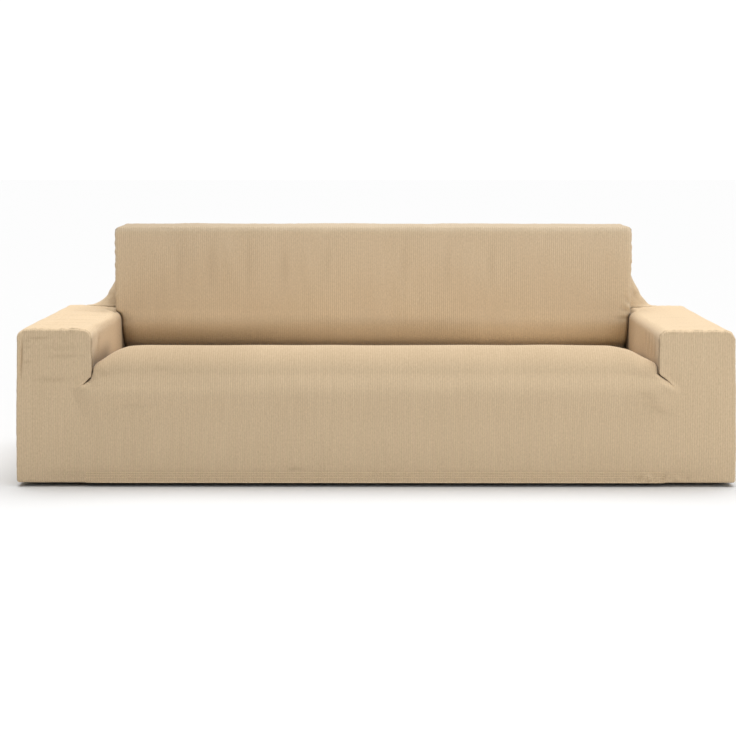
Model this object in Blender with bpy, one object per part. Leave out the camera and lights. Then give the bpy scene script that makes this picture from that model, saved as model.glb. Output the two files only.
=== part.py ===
"""Fitted knitted slipcover for a three-seat sofa: five sewn panels, hollow and open at the hem.

Each panel is cut flat on a grid of (u, v), given the thickness of the cloth, and bent to shape. Metres;
X runs along the seat, +Y to the rear, +Z up. The hem is at Z = 0, and the origin is at the middle of the
footprint.
"""
import math
from collections import namedtuple

import bmesh
import bpy
import numpy as np
from mathutils import Vector

# Cloth
CLOTH = 0.0025
SEAM_GAP = 0.0003
CLOTH_COLOUR = (0.61, 0.47, 0.31, 1.0)
CLOTH_ROUGHNESS = 0.9

# Widths, from the middle plane
HALF_WIDTH = 1.150
ARM_INNER = 0.906
BACK_HALF = 0.930

# Depths
ARM_FRONT = -0.450
SEAT_REACH = 0.020
BACK_FACE = 0.240
TUCK_FACE = 0.255
REAR = 0.470

# Heights above the hem
BACK_TOP = 0.786
SEAT_REAR = 0.350
CUSHION_FOOT = 0.240
SLIT_FOOT = 0.305
WALL_FOOT = 0.325

# Rounded edges and tucks
FRONT_RIM = 0.010
REAR_RIM = 0.020
BACK_RIM = 0.014
HEM_ROUND = 0.010
TUCK_ROUND = 0.012
SEAT_REAR_ROUND = 0.014
TUCK_DEPTH = 0.018
TUCK_ZONE = 0.036
BACK_TUCK = 0.020
ARM_TUCK = 0.030
HEM_TURN = 0.020
WEB_LIFT = 0.0007
CREASE_GAP = 0.0015
WEB_START = 0.35
ARM_CROWN = 0.003
CORNER_CLEARANCE = 0.0008

# The outer side of an arm is fullest at this height and draws in above and below it.
FULLEST = 0.240
DRAW_IN = 0.006

# The seat's front stands ahead of the arms: a little from the hem up, and more at the cushion.
BULGE_SIDE = 0.935
BULGE_RUN = 0.070
APRON_REACH = 0.004
APRON_RISE = 0.200
CUSHION_RISE = 0.055

# Where one shape fades into the next
SLIT_FADE = 0.040
HEM_BEND_SIDE = 0.900
HEM_BEND_RUN = 0.050
TUCK_FADE = 0.2
RECESS_RISE = 0.070

# The turned hem leaves these distances free beside the slit and at the outer corner of an arm.
NOTCH_INNER = 0.024
NOTCH_OUTER = 0.050

# The back's side tuck, and the turned hem behind an arm, in steps of their grids
CLEAR_OF_ARM = 0.002
BACK_TUCK_END = 1.5
BACK_TUCK_LEAN = 0.8
REAR_TURN_FROM = 0.870
REAR_TURN_TO = 1.250

# The cover is a little uneven from side to side, so each arm has its own row.
Arm = namedtuple("Arm", "sign top outer_round rear_round inner_round web_round back_round")
LEFT = Arm(sign=-1, top=0.489, outer_round=0.028, rear_round=0.028, inner_round=0.030,
           web_round=0.140, back_round=0.022)
RIGHT = Arm(sign=1, top=0.4855, outer_round=0.040, rear_round=0.030, inner_round=0.024,
            web_round=0.130, back_round=0.020)

# Height of the seat's front crown along X, and the share of its rise over the slit's foot that it rolls over
CrownPoint = namedtuple("CrownPoint", "x z")
SEAT_CROWN = (CrownPoint(-0.906, 0.366), CrownPoint(-0.760, 0.431), CrownPoint(0.000, 0.4325),
              CrownPoint(0.745, 0.431), CrownPoint(0.906, 0.368))
CROWN_SHARE = 0.72

SHARP_ANGLE = math.radians(40)
NUDGE = 1e-6
TOUCH = 1e-8
AT_EDGE = 0.01
HALVINGS = 30


def mix(low, high, share):
    return low + (high - low) * share


def smooth(share):
    share = min(max(share, 0.0), 1.0)
    return share * share * (3 - 2 * share)


def round_in(distance, radius):
    """How far a rounded edge has drawn in, at a distance inside the edge's outer plane."""
    distance = min(max(distance, 0.0), radius)
    return radius - math.sqrt(radius ** 2 - (radius - distance) ** 2)


# An edge of a face: how far inside it a point lies, the way it looks out of the face, and how far it is bent.
Edge = namedtuple("Edge", "distance out_x out_z weight")


def corner_edge(to_side, to_level, radius, out_x, out_z, weight=1.0):
    """The nearest edge at a corner: its upright side, its level side, or the round of this radius between."""
    if to_side < radius and to_level < radius:
        reach = math.hypot(radius - to_side, radius - to_level)
        across, up = (radius - to_side) / reach, (radius - to_level) / reach
        return Edge(radius - reach, out_x * across, out_z * up, weight)
    if to_side < to_level:
        return Edge(to_side, out_x, 0.0, weight)
    return Edge(to_level, 0.0, out_z, weight)


def rim(edges, radius, facing):
    """How far a face has drawn in at its rounded rim, and the way it looks there; facing is its way in Y."""
    edge = max(edges, key=lambda edge: edge.weight * round_in(edge.distance, radius))
    lean = edge.weight * (1 - min(max(edge.distance, 0.0), radius) / radius)
    normal = np.array((edge.out_x * lean, facing * math.sqrt(1 - lean ** 2), edge.out_z * lean))
    return edge.weight * round_in(edge.distance, radius), normal


def arm_at(u):
    return LEFT if u < 0 else RIGHT


def outer_x(z):
    return HALF_WIDTH - DRAW_IN * ((z - FULLEST) / FULLEST) ** 2


def crown_height(x):
    """Height of the seat's crown at X, smoothed between the points of SEAT_CROWN."""
    for left, right in zip(SEAT_CROWN, SEAT_CROWN[1:]):
        if x <= right.x:
            return mix(left.z, right.z, smooth((x - left.x) / (right.x - left.x)))
    return SEAT_CROWN[-1].z


def seat_bulge(a, z):
    """How far the seat's front stands ahead of the arm fronts."""
    width = smooth((BULGE_SIDE - a) / BULGE_RUN)
    cushion = (SEAT_REACH - APRON_REACH) * smooth((z - CUSHION_FOOT) / CUSHION_RISE)
    return width * (APRON_REACH * smooth(z / APRON_RISE) + cushion)


# ---- front panel: u is X; v runs up the cloth: 0 hem, 1 slit's foot, then the arm tab ends at 2, while
# ---- the seat goes on: 2 crown begins, 3 deck begins, 4 rear edge, 5 tuck, 6 end of the cloth.

def apron_point(u, v):
    arm, a = arm_at(u), abs(u)
    bottom = round_in(HALF_WIDTH - a, HEM_ROUND) if a > ARM_INNER else 0.0
    z = mix(bottom, SLIT_FOOT, max(v, 0.0))
    return front_face(arm, a, z, 0.0, max(-v, 0.0) * HEM_TURN)


def tab_point(u, v):
    arm, a = arm_at(u), abs(u)
    top = arm.top - max(round_in(HALF_WIDTH - a, arm.outer_round),
                        round_in(a - ARM_INNER, arm.inner_round))
    z = mix(SLIT_FOOT, top, v - 1)
    return front_face(arm, a, z, smooth((z - SLIT_FOOT) / SLIT_FADE), 0.0)


def front_face(arm, a, z, slit_share, turned_under):
    """A point on the apron or an arm's front, with its rounded rim, and its normal."""
    x = a
    if a > ARM_INNER:
        x = ARM_INNER + (a - ARM_INNER) * (outer_x(z) - ARM_INNER) / (HALF_WIDTH - ARM_INNER)
    to_side, to_top = outer_x(z) - x, arm.top - z
    edges = [corner_edge(to_side, to_top, arm.outer_round, arm.sign, 1.0),
             corner_edge(x - ARM_INNER, to_top, arm.inner_round, -arm.sign, 1.0, slit_share),
             corner_edge(to_side, z, HEM_ROUND, arm.sign, -1.0, smooth((a - HEM_BEND_SIDE) / HEM_BEND_RUN))]
    if a < ARM_INNER:
        edges = edges[2:]
    drop, normal = rim(edges, FRONT_RIM, -1.0)
    bulge = seat_bulge(a, z) * (1 - slit_share)
    x += SEAM_GAP * slit_share * (1 - smooth((x - ARM_INNER) / arm.inner_round))
    return np.array((arm.sign * x, ARM_FRONT + drop - bulge + turned_under, z)), normal


def seat_point(u, v):
    """The seat from the slit's foot up, over the crown and back to the tuck, with its sides tucked down."""
    a = abs(u)
    crown, edge = crown_height(u), ARM_INNER - SEAM_GAP
    crown_round = CROWN_SHARE * (crown - SLIT_FOOT)
    front_top = crown - crown_round
    face = ARM_FRONT - seat_bulge(a, front_top)
    deck_end = TUCK_FACE - SEAM_GAP - SEAT_REAR_ROUND
    if v < 2:
        z = mix(SLIT_FOOT, front_top, v - 1)
        path, out = np.array((0.0, ARM_FRONT - seat_bulge(a, z), z)), np.array((0.0, -1.0, 0.0))
    elif v < 3:
        turn = (v - 2) * math.pi / 2
        out = np.array((0.0, -math.cos(turn), math.sin(turn)))
        path = np.array((0.0, face + crown_round, front_top)) + out * crown_round
    elif v < 4:
        path = np.array((0.0, mix(face + crown_round, deck_end, v - 3), mix(crown, SEAT_REAR, v - 3)))
        out = np.array((0.0, 0.0, 1.0))
    else:
        turn = min(v - 4, 1) * math.pi / 2
        out = np.array((0.0, math.sin(turn), math.cos(turn)))
        path = np.array((0.0, deck_end, SEAT_REAR - SEAT_REAR_ROUND)) + out * SEAT_REAR_ROUND
        path[2] -= max(v - 5, 0.0) * TUCK_DEPTH
    folded = smooth(v - 1)
    straight = TUCK_DEPTH * (1 - smooth((v - 4 + TUCK_FADE) / TUCK_FADE))
    quarter = TUCK_ROUND * math.pi / 2
    along = (1 - (edge - a) / TUCK_ZONE) * (quarter + straight)
    if along <= 0:
        x, depth = a * (edge - TUCK_ROUND) / (edge - TUCK_ZONE), 0.0
    elif along < quarter:
        turn = along / TUCK_ROUND
        x, depth = edge - TUCK_ROUND * (1 - math.sin(turn)), TUCK_ROUND * (1 - math.cos(turn))
    else:
        x, depth = edge, TUCK_ROUND + along - quarter
    path[0] = math.copysign(mix(a, x, folded), u)
    return path - out * depth * folded, None


def front_point(u, v):
    if v <= 1:
        return apron_point(u, v)
    return tab_point(u, v) if abs(u) > ARM_INNER else seat_point(u, v)


def front_waste(u, v):
    a = abs(u)
    if v < 0:
        return not ARM_INNER + NOTCH_INNER < a < HALF_WIDTH - NOTCH_OUTER
    return a > ARM_INNER and v > 2


def front_slit(u, v):
    return v > 1 and math.isclose(abs(u), ARM_INNER)


# ---- inside back panel: u is X on the face; v: 0 end of the tuck, 1 foot of the arm's round corner,
# ---- 2 above the arm, 3 front of the top, 4 rear of the top.

def back_edge(arm, z):
    """Where the back's face ends: against the arm's inner side, over its round corner, then past it."""
    climb = z - CORNER_CLEARANCE - (arm.top - arm.inner_round)
    if climb <= 0:
        return ARM_INNER - SEAM_GAP
    if climb >= arm.inner_round:
        return BACK_HALF
    across = arm.inner_round - math.sqrt(arm.inner_round ** 2 - climb ** 2)
    return min(ARM_INNER - SEAM_GAP + across, BACK_HALF)


def inside_back_point(u, v):
    arm = arm_at(u)
    a, past = min(abs(u), BACK_HALF), max(abs(u) - BACK_HALF, 0.0)
    corner_foot, clear = arm.top - arm.inner_round, arm.top + CLEAR_OF_ARM
    top = BACK_TOP - round_in(BACK_HALF - a, arm.back_round)
    if v < 1:
        z = mix(SEAT_REAR - SEAT_REAR_ROUND - TUCK_DEPTH, corner_foot, v)
    elif v < 2:
        z = mix(corner_foot, clear, v - 1)
    else:
        z = mix(clear, top, min(v - 2, 1.0))
    edge = back_edge(arm, z)
    x = a * edge / BACK_HALF
    recess = (TUCK_FACE + SEAM_GAP - BACK_FACE) * (1 - smooth((z - SEAT_REAR) / RECESS_RISE))
    drop, normal = rim([corner_edge(edge - x, BACK_TOP - z, arm.back_round, arm.sign, 1.0)], BACK_RIM, -1.0)
    y = BACK_FACE + drop + recess + past * (1 - BACK_TUCK_LEAN * smooth(v - 0.5))
    if v > 3:
        y = mix(BACK_FACE + BACK_RIM, REAR - REAR_RIM - SEAM_GAP, v - 3)
    return np.array((arm.sign * x, y, z)), normal


def inside_back_waste(u, v):
    return abs(u) > BACK_HALF and v > BACK_TUCK_END


# ---- outside back panel: u is 0 to 1 from the middle to the start of the web, and 1 to 2 along the rear of
# ---- the arm below the arm's top, and above it along the wing. v: 0 hem, 1 arm's top, 2 head of the web,
# ---- 3 top of the back. A slit along v = 1 parts the wings from the cloth behind the arms.

def web_flare(arm, z):
    """How far the web stands out past the back's side at its rear edge."""
    return round_in(z - arm.top, arm.web_round)


def web_spread(depth_share):
    """The web's share of its full flare, from 0 at the front of the wing to 1 at the rear."""
    return smooth((depth_share - WEB_START) / (1 - WEB_START))


def web_lift(depth_share):
    """How far the wing's foot stands clear of the arm's top, where it is upright."""
    return WEB_LIFT * (1 - web_spread(depth_share))


def web_foot(arm, depth_share):
    """Distance of the wing's foot from the middle plane."""
    return BACK_HALF + web_flare(arm, arm.top + web_lift(depth_share)) * web_spread(depth_share)


def rear_height(arm, u, v):
    if v < 1:
        return mix(0.0, arm.top, max(v, 0.0))
    if v < 2:
        lift = web_lift(2 - abs(u)) if abs(u) > 1 else 0.0
        first = math.acos(1 - lift / arm.web_round)
        return arm.top + arm.web_round * (1 - math.cos(mix(first, math.pi / 2, v - 1)))
    top = BACK_TOP - round_in(BACK_HALF * (1 - min(abs(u), 1.0)), arm.back_round)
    return mix(arm.top + arm.web_round, top, v - 2)


def wing_point(arm, a, z):
    depth_share = 2 - a
    x = BACK_HALF + web_flare(arm, z) * web_spread(depth_share)
    y = mix(BACK_FACE + BACK_RIM + SEAM_GAP, REAR - REAR_RIM, depth_share)
    return np.array((arm.sign * x, y, z)), None


def outside_back_point(u, v):
    arm, a = arm_at(u), abs(u)
    share = (min(max(u, -1.0), 1.0) + 1) / 2
    z = mix(rear_height(LEFT, u, v), rear_height(RIGHT, u, v), share)
    web_start = BACK_HALF + arm.web_round
    if a > 1 and v > 1:
        return wing_point(arm, a, z)
    if a > 1:
        past = (a - 1) * (HALF_WIDTH - web_start)
        low = round_in(HALF_WIDTH - web_start - past, HEM_ROUND)
        high = arm.top - round_in(HALF_WIDTH - web_start - past, arm.rear_round)
        z = mix(low, high, max(v, 0.0))
        x = web_start + past * (outer_x(z) - web_start) / (HALF_WIDTH - web_start)
    else:
        x = a * (web_start if v <= 1 else BACK_HALF + web_flare(arm, z))
    if x >= web_start:
        edge = corner_edge(outer_x(z) - x, arm.top - z, arm.rear_round, arm.sign, 1.0)
    elif z < arm.top + arm.web_round:
        to_x, to_z = web_start - x, arm.top + arm.web_round - z
        reach = math.hypot(to_x, to_z)
        edge = Edge(reach - arm.web_round, arm.sign * to_x / reach, to_z / reach, 1.0)
    else:
        edge = corner_edge(BACK_HALF - x, BACK_TOP - z, arm.back_round, arm.sign, 1.0)
    hem_bend = smooth((x - HEM_BEND_SIDE) / HEM_BEND_RUN)
    hem = corner_edge(outer_x(z) - x, z, HEM_ROUND, arm.sign, -1.0, hem_bend)
    drop, normal = rim([edge, hem], REAR_RIM, 1.0)
    return np.array((arm.sign * x, REAR - drop - max(-v, 0.0) * HEM_TURN, z)), normal


def outside_back_waste(u, v):
    return v < 0 and not REAR_TURN_FROM < abs(u) < REAR_TURN_TO


def outside_back_slit(u, v):
    return abs(u) > 1 and math.isclose(v, 1)


# ---- arm panel: u is 0 at the front seam and 1 at the rear; v: 0 end of the turned hem, 1 hem's round,
# ---- 2 outer side, 3 outer round, 4 top, 5 inner round, 6 inner side, 7 end of the cloth in the tuck.

def arm_section(arm, v, depth_share):
    outer_round = mix(arm.outer_round, arm.rear_round, depth_share)
    turn = (v % 1.0) * math.pi / 2
    if v < 1:
        return outer_x(0.0) - HEM_ROUND - (1 - v) * HEM_TURN, 0.0
    if v < 2:
        z = HEM_ROUND * (1 - math.cos(turn))
        return outer_x(z) - HEM_ROUND * (1 - math.sin(turn)), z
    if v < 3:
        z = mix(HEM_ROUND, arm.top - outer_round, v - 2)
        return outer_x(z), z
    if v < 4:
        z = arm.top - outer_round * (1 - math.sin(turn))
        return outer_x(z) - outer_round * (1 - math.cos(turn)), z
    if v < 5:
        crown = ARM_CROWN * math.sin(math.pi * (v - 4)) * math.sin(math.pi * depth_share)
        a = mix(outer_x(arm.top) - outer_round, ARM_INNER + SEAM_GAP + arm.inner_round, v - 4)
        return a, arm.top + crown
    if v < 6:
        a = ARM_INNER + SEAM_GAP + arm.inner_round * (1 - math.sin(turn))
        return a, arm.top - arm.inner_round * (1 - math.cos(turn))
    return ARM_INNER + SEAM_GAP, mix(arm.top - arm.inner_round, WALL_FOOT, v - 6)


def arm_rear(arm, v):
    """Where the arm's cloth ends: at the rear seam, at the web's crease, or in the tuck beside the back."""
    seam = REAR - REAR_RIM - SEAM_GAP
    if v < 4:
        return seam
    a = arm_section(arm, v, 1.0)[0]
    if a >= BACK_HALF + arm.web_round:
        return seam
    low, high = 0.0, 1.0
    for _ in range(HALVINGS):
        middle = (low + high) / 2
        low, high = (middle, high) if web_foot(arm, middle) < a else (low, middle)
    crease = mix(BACK_FACE + BACK_RIM, REAR - REAR_RIM, low)
    return max(crease - CREASE_GAP, TUCK_FACE + ARM_TUCK)


def arm_point(arm, u, v):
    a, z = arm_section(arm, v, u)
    y = mix(ARM_FRONT + FRONT_RIM + SEAM_GAP, arm_rear(arm, v), u)
    return np.array((arm.sign * a, y, z)), None


def nowhere(u, v):
    return False


# ---- stations of each panel's grid: a run goes from start to end in count equal steps

Run = namedtuple("Run", "start end count")

FRONT_ROWS = (Run(-1, 0, 1), Run(0, 0.0096, 1), Run(0.0096, 0.033, 1), Run(0.033, 0.787, 2), Run(0.787, 1, 3),
              Run(1, 1.2, 2), Run(1.2, 1.8, 2), Run(1.8, 1.945, 2), Run(1.945, 1.984, 1), Run(1.984, 2, 1),
              Run(2, 3, 6), Run(3, 3.8, 4), Run(3.8, 4, 1), Run(4, 5, 3), Run(5, 6, 1))
SEAT_HALF = (Run(0.0, 0.600, 3), Run(0.600, 0.745, 2), Run(0.745, 0.870, 5), Run(0.870, 0.8884, 3),
             Run(0.8884, ARM_INNER, 1))
ARM_FRONT_HALF = (Run(ARM_INNER, 0.909, 1), Run(0.909, 0.916, 1), Run(0.916, 0.934, 2), Run(0.934, 1.114, 2),
                  Run(1.114, 1.140, 2), Run(1.140, 1.147, 1), Run(1.147, HALF_WIDTH, 1))
BACK_ROWS = (Run(0, 0.28, 1), Run(0.28, 1, 4), Run(1, 1.5, 2), Run(1.5, 2, 2), Run(2, 2.9, 4),
             Run(2.9, 2.952, 1), Run(2.952, 2.986, 1), Run(2.986, 3, 1), Run(3, 4, 2))
BACK_HALF_RUNS = (Run(0.0, 0.840, 5), Run(0.840, 0.908, 1), Run(0.908, 0.916, 1), Run(0.916, 0.9259, 1),
                  Run(0.9259, BACK_HALF, 1), Run(BACK_HALF, BACK_HALF + BACK_TUCK, 1))
REAR_ROWS = (Run(-1, 0, 1), Run(0, 0.012, 1), Run(0.012, 0.041, 1), Run(0.041, 0.94, 4), Run(0.94, 0.959, 1),
             Run(0.959, 0.988, 1), Run(0.988, 1, 1), Run(1, 2, 6), Run(2, 2.85, 2), Run(2.85, 2.98, 2),
             Run(2.98, 3, 1))
REAR_HALF_RUNS = (Run(0.0, 0.8, 4), Run(0.8, 0.94, 2), Run(0.94, 0.981, 2), Run(0.981, 0.9945, 1),
                  Run(0.9945, 1, 1), Run(1, 1.6, 4), Run(1.6, 1.75, 1), Run(1.75, 1.926, 1), Run(1.926, 2, 1))
ARM_COLUMNS = (Run(0, 0.5, 3), Run(0.5, 0.8, 3), Run(0.8, 1, 3))
ARM_ROWS = (Run(0, 1, 1), Run(1, 2, 2), Run(2, 3, 3), Run(3, 4, 4), Run(4, 5, 7), Run(5, 6, 3), Run(6, 7, 2))


# ---- cutting and sewing

def steps(runs):
    """Stations along u or v."""
    stations = []
    for run in runs:
        stations += [mix(run.start, run.end, index / run.count) for index in range(run.count)]
    return stations + [runs[-1].end]


def both_sides(runs):
    """Stations on both sides of the middle, from the runs of the right half."""
    half = steps(runs)
    return sorted({-value for value in half} | set(half))


def knit_material(name):
    material = bpy.data.materials.new(name)
    material.use_nodes = True
    shader = material.node_tree.nodes["Principled BSDF"]
    shader.inputs["Base Color"].default_value = CLOTH_COLOUR
    shader.inputs["Roughness"].default_value = CLOTH_ROUGHNESS
    shader.inputs["Metallic"].default_value = 0.0
    return material


def flat_place(columns, rows, spot):
    """The (u, v) of a spot given in steps of the grid."""
    u = np.interp(spot.x, range(len(columns)), columns)
    v = np.interp(spot.y, range(len(rows)), rows)
    return float(u), float(v)


def place(vert, columns, rows, point, facing):
    """The place of a vertex of the flat slab on the bent cloth, its inner face inwards."""
    medians = [face.calc_center_median() for face in vert.link_faces]
    medians = [median for median in medians if math.isclose(median.z, vert.co.z)]
    middle = sum(medians, Vector()) / len(medians)
    u, v = flat_place(columns, rows, vert.co)
    into_u = 1 if middle.x > vert.co.x + AT_EDGE else -1
    into_v = 1 if middle.y > vert.co.y + AT_EDGE else -1
    u, v = u + into_u * TOUCH, v + into_v * TOUCH
    here, normal = point(u, v)
    if normal is None:
        across = (point(u + into_u * NUDGE, v)[0] - here) * into_u
        along = (point(u, v + into_v * NUDGE)[0] - here) * into_v
        normal = np.cross(across, along) * facing
    return here - normal * CLOTH * vert.co.z / np.linalg.norm(normal)


def sew_panel(name, columns, rows, point, is_waste, is_slit, facing):
    """Cut a grid flat, take out the waste, slit it, give it thickness, and bend it to shape."""
    mesh = bmesh.new()
    across, along = len(columns) - 1, len(rows) - 1
    bmesh.ops.create_grid(mesh, x_segments=across, y_segments=along, size=0.5)
    for vert in mesh.verts:
        vert.co = Vector((round((vert.co.x + 0.5) * across), round((vert.co.y + 0.5) * along), 0.0))
    waste = [face for face in mesh.faces
             if is_waste(*flat_place(columns, rows, face.calc_center_median()))]
    bmesh.ops.delete(mesh, geom=waste, context="FACES")
    slit = [edge for edge in mesh.edges
            if is_slit(*flat_place(columns, rows, (edge.verts[0].co + edge.verts[1].co) / 2))]
    bmesh.ops.split_edges(mesh, edges=slit)
    lifted = bmesh.ops.extrude_face_region(mesh, geom=mesh.faces[:])
    for item in lifted["geom"]:
        if isinstance(item, bmesh.types.BMVert):
            item.co.z = 1.0
    places = {vert: place(vert, columns, rows, point, facing) for vert in mesh.verts}
    for vert, spot in places.items():
        vert.co = spot
    bmesh.ops.recalc_face_normals(mesh, faces=mesh.faces[:])
    if mesh.calc_volume(signed=True) < 0:
        bmesh.ops.reverse_faces(mesh, faces=mesh.faces[:])
    data = bpy.data.meshes.new(name)
    mesh.to_mesh(data)
    mesh.free()
    data.shade_smooth()
    data.set_sharp_from_angle(angle=SHARP_ANGLE)
    data.materials.append(knit_material(name + "_knit"))
    panel = bpy.data.objects.new(name, data)
    bpy.context.scene.collection.objects.link(panel)
    return panel


def front_panel():
    columns = both_sides(SEAT_HALF + ARM_FRONT_HALF)
    sew_panel("front_panel", columns, steps(FRONT_ROWS), front_point, front_waste, front_slit, 1)


def inside_back_panel():
    sew_panel("inside_back_panel", both_sides(BACK_HALF_RUNS), steps(BACK_ROWS), inside_back_point,
              inside_back_waste, nowhere, 1)


def outside_back_panel():
    sew_panel("outside_back_panel", both_sides(REAR_HALF_RUNS), steps(REAR_ROWS), outside_back_point,
              outside_back_waste, outside_back_slit, -1)


def arm_panel(name, arm):
    sew_panel(name, steps(ARM_COLUMNS), steps(ARM_ROWS), lambda u, v: arm_point(arm, u, v), nowhere, nowhere,
              arm.sign)


def main():
    for item in list(bpy.data.objects):
        bpy.data.objects.remove(item, do_unlink=True)
    front_panel()
    inside_back_panel()
    outside_back_panel()
    arm_panel("arm_panel_left", LEFT)
    arm_panel("arm_panel_right", RIGHT)


main()
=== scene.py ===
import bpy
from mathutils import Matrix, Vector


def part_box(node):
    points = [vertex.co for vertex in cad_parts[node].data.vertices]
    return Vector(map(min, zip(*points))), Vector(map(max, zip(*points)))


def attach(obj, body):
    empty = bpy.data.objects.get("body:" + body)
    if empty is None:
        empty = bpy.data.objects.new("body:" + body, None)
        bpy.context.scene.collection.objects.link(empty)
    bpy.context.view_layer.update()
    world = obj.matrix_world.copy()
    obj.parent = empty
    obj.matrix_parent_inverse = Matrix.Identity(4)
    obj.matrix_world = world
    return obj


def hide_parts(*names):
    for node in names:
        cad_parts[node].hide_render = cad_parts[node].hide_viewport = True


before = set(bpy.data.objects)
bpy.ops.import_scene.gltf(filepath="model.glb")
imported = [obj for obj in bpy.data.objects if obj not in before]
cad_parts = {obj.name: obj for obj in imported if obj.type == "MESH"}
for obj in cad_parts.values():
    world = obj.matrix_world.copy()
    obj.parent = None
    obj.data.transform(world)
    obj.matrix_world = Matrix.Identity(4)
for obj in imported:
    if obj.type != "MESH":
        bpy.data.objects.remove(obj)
# Every panel is cut on a grid of (u, v), bent over the sofa's shape, creased and given the thickness of the
# cloth. Metres; X runs along the seat, +Y to the rear, +Z up from the hem.
# Looks of a fitted, ribbed elastic-knit slipcover for a three-seat sofa, around its imported frame.
"""Looks of a fitted, ribbed stretch-knit slipcover for a three-seat sofa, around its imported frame.

Every panel is cut on a grid of (u, v), bent over the sofa's shape, creased by hand and given the thickness of
the cloth. Metres; X runs along the seat, +Y to the rear, +Z up from the hem.
"""
import bisect
import logging
import math
from abc import ABC, abstractmethod
from collections.abc import Sequence
from dataclasses import dataclass, field
from enum import Enum
from typing import NamedTuple

import bmesh
import bpy
import numpy as np
from mathutils import Vector, kdtree, noise

LOG = logging.getLogger("slipcover")
TOUCH = 1e-7  # Too short to show; it tells the two sides of a slit apart
AT_EDGE = 0.005  # Cloth this near an arm's inner side counts as the arm's
LOOK_GAIN, LOOK_LOSS = 1.6, 0.3  # A fold runs out where the cloth turns away from the fold's plane
SEAM_REACHES = 4  # Past this many reaches nothing of a pucker is left
SLACK_RISE = 0.060  # Ripples grow to their full height this far above the hem's stitches


# ---- small numeric helpers

def mix(low: float, high: float, share: float) -> float:
    """Goes from low to high.

    Args:
        low: Value at share 0.
        high: Value at share 1.
        share: How far to go.

    Returns:
        The value between.
    """
    return low + (high - low) * share


def smooth(share: float) -> float:
    """Eases a share in and out.

    Args:
        share: Any number; it is held between 0 and 1.

    Returns:
        The eased share.
    """
    share = min(max(share, 0.0), 1.0)
    return share * share * (3 - 2 * share)


def round_in(distance: float, radius: float) -> float:
    """Works out a rounded edge.

    Args:
        distance: How far inside the edge's outer plane a point lies.
        radius: Radius of the edge.

    Returns:
        How far the edge has drawn in there.
    """
    distance = min(max(distance, 0.0), radius)
    return radius - math.sqrt(radius ** 2 - (radius - distance) ** 2)


def to_corner(to_side: float, to_level: float, radius: float) -> float:
    """Distance from the nearest edge at a rounded corner.

    Args:
        to_side: Distance from the upright edge.
        to_level: Distance from the level edge.
        radius: Radius of the corner.

    Returns:
        The distance.
    """
    if to_side < radius and to_level < radius:
        return radius - math.hypot(radius - to_side, radius - to_level)
    return min(to_side, to_level)


class Ramp(NamedTuple):
    """A share that eases from 0 at start to 1 at end; end may lie below start."""

    start: float
    end: float

    def __call__(self, at: float) -> float:
        """Reads the ramp.

        Args:
            at: Where to read it.

        Returns:
            Its share there.
        """
        return smooth((at - self.start) / (self.end - self.start))


class Knot(NamedTuple):
    """One station of a curve."""

    at: float
    value: float


@dataclass(frozen=True)
class Curve:
    """A smooth curve through a few stations, level beyond the first and the last."""

    knots: tuple[Knot, ...]

    def __call__(self, at: float) -> float:
        """Reads the curve.

        Args:
            at: Where to read it.

        Returns:
            Its value there.
        """
        knots = self.knots
        if at <= knots[0].at:
            return knots[0].value
        if at >= knots[-1].at:
            return knots[-1].value
        index = bisect.bisect_right([knot.at for knot in knots], at) - 1
        low, high = knots[index], knots[index + 1]
        span = high.at - low.at
        share = (at - low.at) / span
        start, end = self._slope(index) * span, self._slope(index + 1) * span
        rest = 1 - share
        return (low.value * (1 + 2 * share) * rest ** 2 + start * share * rest ** 2
                + high.value * share ** 2 * (3 - 2 * share) - end * share ** 2 * rest)

    def _slope(self, index: int) -> float:
        """Slope at a knot.

        Args:
            index: Which knot.

        Returns:
            Rise over run between its neighbours, or 0 at the ends.
        """
        if index in (0, len(self.knots) - 1):
            return 0.0
        before, after = self.knots[index - 1], self.knots[index + 1]
        return (after.value - before.value) / (after.at - before.at)


def curve(*pairs: tuple[float, float]) -> Curve:
    """Makes a curve from (at, value) pairs.

    Args:
        *pairs: The stations, in order.

    Returns:
        The curve.
    """
    return Curve(tuple(Knot(*pair) for pair in pairs))


class Run(NamedTuple):
    """Stations along u or v: count equal steps from start to end."""

    start: float
    end: float
    count: int


def steps(runs: Sequence[Run]) -> list[float]:
    """Lists the stations of some runs.

    Args:
        runs: Runs that follow one another.

    Returns:
        Every station once, in order.
    """
    stations = []
    for run in runs:
        stations += [mix(run.start, run.end, index / run.count) for index in range(run.count)]
    return stations + [runs[-1].end]


def both_sides(runs: Sequence[Run]) -> list[float]:
    """Mirrors the stations of the right half.

    Args:
        runs: Runs from the middle outwards.

    Returns:
        The stations of both halves, in order.
    """
    half = steps(runs)
    return sorted({-value for value in half} | set(half))


# ---- sizes

class Side(Enum):
    """The two sides of the cover, seen from the front."""

    LEFT = -1
    RIGHT = 1


@dataclass(frozen=True)
class Arm:
    """How the cover sits on one arm: heights above the hem, radii of rounded edges, and shares of shade.

    wide is how far it stands out past the frame's arm. web_slack goes by the height above the arm, curl by
    the height above the hem, and deck_edge, the height of the seat's side, by Y.
    """

    side: Side
    top_front: float
    top_rear: float
    outer_round: float
    rear_round: float
    inner_round: float
    web_round: float
    back_round: float
    back_half: float
    web_slack: Curve
    wall_shade: float
    web_shade: float
    nook_wide_shade: float
    nook_thin_shade: float
    wide: float
    slit_calm: float
    slit_share: float
    fold_rise: float
    curl: Curve
    deck_edge: Curve

    @property
    def sign(self) -> int:
        """Sign of X on this side.

        Returns:
            -1 on the left and 1 on the right.
        """
        return self.side.value

    def flare(self, z: float) -> float:
        """How far the web stands out past the back's side at its rear edge.

        Args:
            z: Height above the hem.

        Returns:
            The distance.
        """
        climb = z - self.top_rear
        return round_in(climb, self.web_round) + self.web_slack(climb)


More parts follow.
